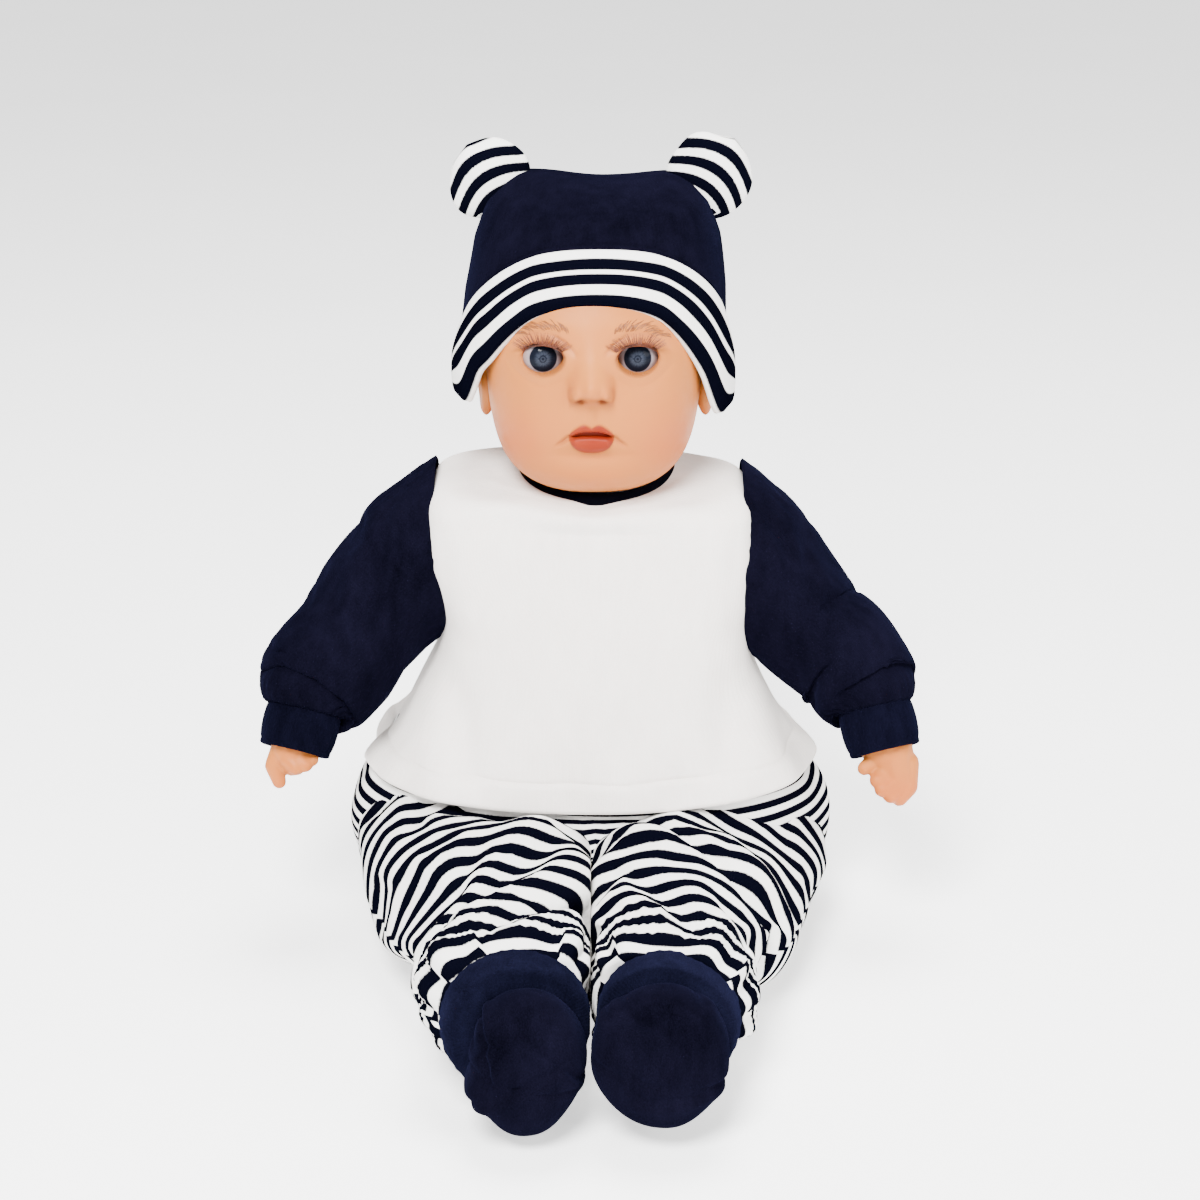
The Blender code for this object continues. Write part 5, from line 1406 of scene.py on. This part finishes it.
def make_seat():
    rows, columns = 90, 190
    points = level_rings(SEAT, rows, columns)
    lap = bell(points[..., 0], 0.022, 4) * ease(-points[..., 1], 0.0, 0.05)
    points[..., 1] -= 0.020 * lap * ease(points[..., 2], 0.020, 0.055) * ease(-points[..., 2], -0.078, -0.060)
    waist = ease(points[..., 2], 0.030, 0.060) * ease(-points[..., 2], -0.078, -0.062)
    points[..., 2] += 0.0012 * np.sin(points[..., 0] * 520) * lap * waist
    out = normals_of(points)
    points += out * (0.0014 * random_waves(81, points, 0.026) * ease(points[..., 2], 0.004, 0.02))[..., None]
    floor = points[-1:]
    centre = np.array([0.0, 0.0, 0.0010])
    base = [floor * (1 - t) + centre * t for t in (0.3, 0.6, 0.9)]
    points = np.concatenate([points, *base])
    uv = metric_uv(points)
    full = np.linspace(0, 2 * math.pi, columns + 1)[None, :]
    uv[..., 1] += 0.0014 * random_waves(83, on_cylinder(full, 0.08, uv[..., 1]), 0.040)
    front = bell(np.cos(full), 0.22, 4) * (np.sin(full) < 0)
    uv[..., 1] += 0.030 * front * ease(uv[..., 1], 0.020, 0.060)
    uv[..., 1] *= 1.8
    seat = rings_to_mesh("trouser_seat_cloth", points, uv=uv)
    finished(seat, "stripes", "torso", ("trousers_seat",))


# ================================================================ booties
def make_bootie(side_name, side):
    """A stuffed foot with a curved sole seam, and the doubled band above it."""
    centre, reach = (np.array(v) for v in FOOT[side])
    rows, columns = 90, 120
    ways = ball_ways(rows, columns)
    power = 2.25
    size = (np.abs(ways) ** power).sum(-1) ** (-1 / power)
    local = ways * size[..., None]
    sole = local[..., 2] + 0.16 * local[..., 0] * side + 0.10
    seam = -0.0011 * bell(sole, 0.030) * ease(-local[..., 1], -0.2, 0.3)
    lateral, height = local[..., 0], local[..., 2]
    if side > 0:
        instep = ease(height, -0.45, -0.25) * ease(-height, -0.60, -0.35)
        folds = ((lateral + 0.39 + 0.10 * height, 0.0022, instep),
                 (height + 0.34 - 0.08 * lateral, 0.0014, ease(lateral, -0.55, -0.35)),
                 (height - 0.66 + 0.30 * lateral, 0.0018, ease(-lateral, -0.60, 0.10)),
                 (height - 0.78 - 0.10 * lateral, 0.0012, 1.0))
    else:
        folds = ((height - 0.20 + 0.42 * (lateral + 0.52), 0.0018, ease(lateral, -0.75, -0.50)),
                 (height - 0.60 + 0.55 * (lateral - 0.2) ** 2, 0.0016, 1.0),
                 (lateral - 0.66 - 0.35 * height ** 2, 0.0020, ease(height, -0.25, 0.0)))
    crease = 0.0
    for line, depth, where in folds:
        crease = crease + where * depth * (0.7 * bell(line + 0.12, 0.07) - bell(line, 0.05))
    if side < 0:
        crease = crease + 0.0050 * hill(lateral - 0.92, height + 0.34, 0.20, 0.15)
    narrowing = 1 - 0.16 * ease(-height, 0.1, 1.0)
    local = local * np.stack([narrowing, np.ones_like(height), np.ones_like(height)], axis=-1)
    soft = 0.0010 * random_waves(90 + int(side), local * 0.03, 0.020)
    points = centre + local * reach + ways * (seam + crease + soft)[..., None]
    points[..., 0] *= side
    points[..., 2] = np.maximum(points[..., 2], 0.0012)
    u = np.linspace(0, 2 * math.pi * 0.028, columns + 1)
    v = np.linspace(0, math.pi * 0.033, rows)
    foot = rings_to_mesh(f"bootie_cloth_{side_name}", points, uv=np.stack(np.meshgrid(u, v), axis=-1))
    recalculate(foot, 0.00001)
    finished(foot, "navy", f"leg_{side_name}",
             (f"bootie_{side_name}", f"lower_leg_{side_name}"))
    make_ankle_band(side_name, side)


def make_ankle_band(side_name, side):
    ankle = np.array([0.0348 if side > 0 else 0.0325, -0.2330, 0.0440])
    way = np.array([-0.10, -0.93, 0.05 if side > 0 else 0.02])
    way /= np.linalg.norm(way)
    rows, columns = 26, 120
    angles = round_angles(columns)
    wide = np.array([1.0, 0, 0]) - way[0] * way
    wide /= np.linalg.norm(wide)
    high = np.cross(way, wide)
    rings = []
    for k in range(rows):
        t = k / (rows - 1)
        along = -0.0105 + 0.0200 * min(t / 0.8, 1.0)
        radius = 0.0302 + 0.0016 * math.sin(math.pi * min(t / 0.8, 1)) ** 0.7 - 0.0045 * max(t - 0.8, 0) / 0.2
        ripple = 1 + 0.006 * np.cos(angles * 40) + 0.012 * np.sin(3 * angles + side)
        rings.append(ankle + way * along + wide * (radius * np.cos(angles) * ripple)[:, None]
                     + high * (radius * 0.96 * np.sin(angles) * ripple)[:, None])
    front = rings[-1].mean(axis=0)
    for k, size in enumerate((0.90, 0.78, 0.64, 0.50)):
        rings.append(front + (rings[rows - 1] - front) * size + way * 0.0006 * (1 - k))
    points = np.array(rings)
    points[..., 0] *= side
    points[..., 2] = np.maximum(points[..., 2], 0.0012)
    points[..., 0] = side * np.maximum(points[..., 0] * side, 0.0009)
    band = rings_to_mesh(f"ankle_band_{side_name}", points, uv=metric_uv(points))
    thicken(band, CLOTH_WALL)
    finished(band, "navy_rib", f"leg_{side_name}")


# ================================================================ CAD nodes that stay
def plastic(name, colour, shade, roughness=0.45, grain=800.0, metallic=0.0):
    shell = Shader(name, roughness=roughness, metallic=metallic, specular=0.5)
    shell.set("Base Color", shell.noise_mix(colour, shade, 40.0, 3.0))
    shell.set("Roughness", shell.span(shell.noise(grain, 2.0), 0.3, 0.7, roughness - 0.06, roughness + 0.08))
    return shell.bump((shell.noise(grain * 1.6, 2.0), 0.00005, 0.3)).material


def woven(name, colour, shade):
    cloth = Shader(name, roughness=0.9, specular=0.15, sheen=0.3)
    warp, weft = (cloth.node("ShaderNodeTexWave", Vector=place, Scale=240.0, Distortion=0.4).outputs["Fac"]
                  for place in (cloth.position(), cloth.stretched((0.2, 1.0, 3.0))))
    threads = cloth.maths("MULTIPLY", warp, weft)
    cloth.set("Base Color", cloth.mix(threads, shade, colour))
    return cloth.bump((threads, 0.0003, 0.4), (cloth.noise(140.0, 3.0), 0.0006, 0.2)).material


def dress_cad_nodes():
    table = {
        "vinyl": MATERIALS["skin_plain"],
        "body_cloth": woven("body_cloth_weave", (0.78, 0.55, 0.42), (0.60, 0.40, 0.30)),
        "navy_velour": MATERIALS["navy"],
        "white_velour": MATERIALS["white"],
        "striped_velour": MATERIALS["stripes"],
        "nylon": plastic("nylon_tie", (0.80, 0.79, 0.76), (0.70, 0.69, 0.66), 0.35),
        "eye_white": plastic("eye_shell", (0.72, 0.72, 0.70), (0.66, 0.66, 0.64), 0.25),
        "eye_iris": plastic("iris_insert", (0.10, 0.12, 0.17), (0.05, 0.06, 0.09), 0.2),
        "lash": plastic("lash_strip_plastic", (0.05, 0.03, 0.02), (0.09, 0.05, 0.03), 0.5),
        "steel": plastic("zinc_steel", (0.56, 0.56, 0.55), (0.44, 0.44, 0.45), 0.3, metallic=1.0),
        "case_plastic": plastic("case_shell", (0.83, 0.82, 0.79), (0.77, 0.76, 0.73), 0.42),
        "button_plastic": plastic("button_cap", (0.55, 0.02, 0.02), (0.45, 0.015, 0.015), 0.38),
        "circuit_board": plastic("green_laminate", (0.01, 0.13, 0.05), (0.02, 0.19, 0.08), 0.4, 500.0),
        "black_plastic": plastic("black_plastic", (0.012, 0.012, 0.013), (0.022, 0.022, 0.024), 0.45),
        "cell_jacket": plastic("cell_sleeve", (0.02, 0.10, 0.04), (0.03, 0.14, 0.06), 0.3),
    }
    record_slots = {node["name"]: node.get("material") or node.get("slot")
                    for node in frame["record"].get("nodes", [])}
    for name, node in NODES.items():
        slots = node.material_slots
        if not slots:
            node.data.materials.append(table[record_slots[name]])
        for place in slots:
            base = place.material.name.split(".")[0] if place.material else record_slots.get(name)
            found = next((key for key in table if base and (base == key or key in base)), None)
            place.material = table[found or "case_plastic"]


# ================================================================ making it all
def main():
    make_camera()
    make_materials()
    make_studio()
    make_head()
    make_eyes()
    make_ears()
    make_brows()
    make_hat()
    make_shirt()
    for side_name, side in SIDES:
        make_arm(side_name, side)
        make_hand(side_name, side)
        make_leg(side_name, side)
        make_bootie(side_name, side)
    make_seat()
    dress_cad_nodes()


main()
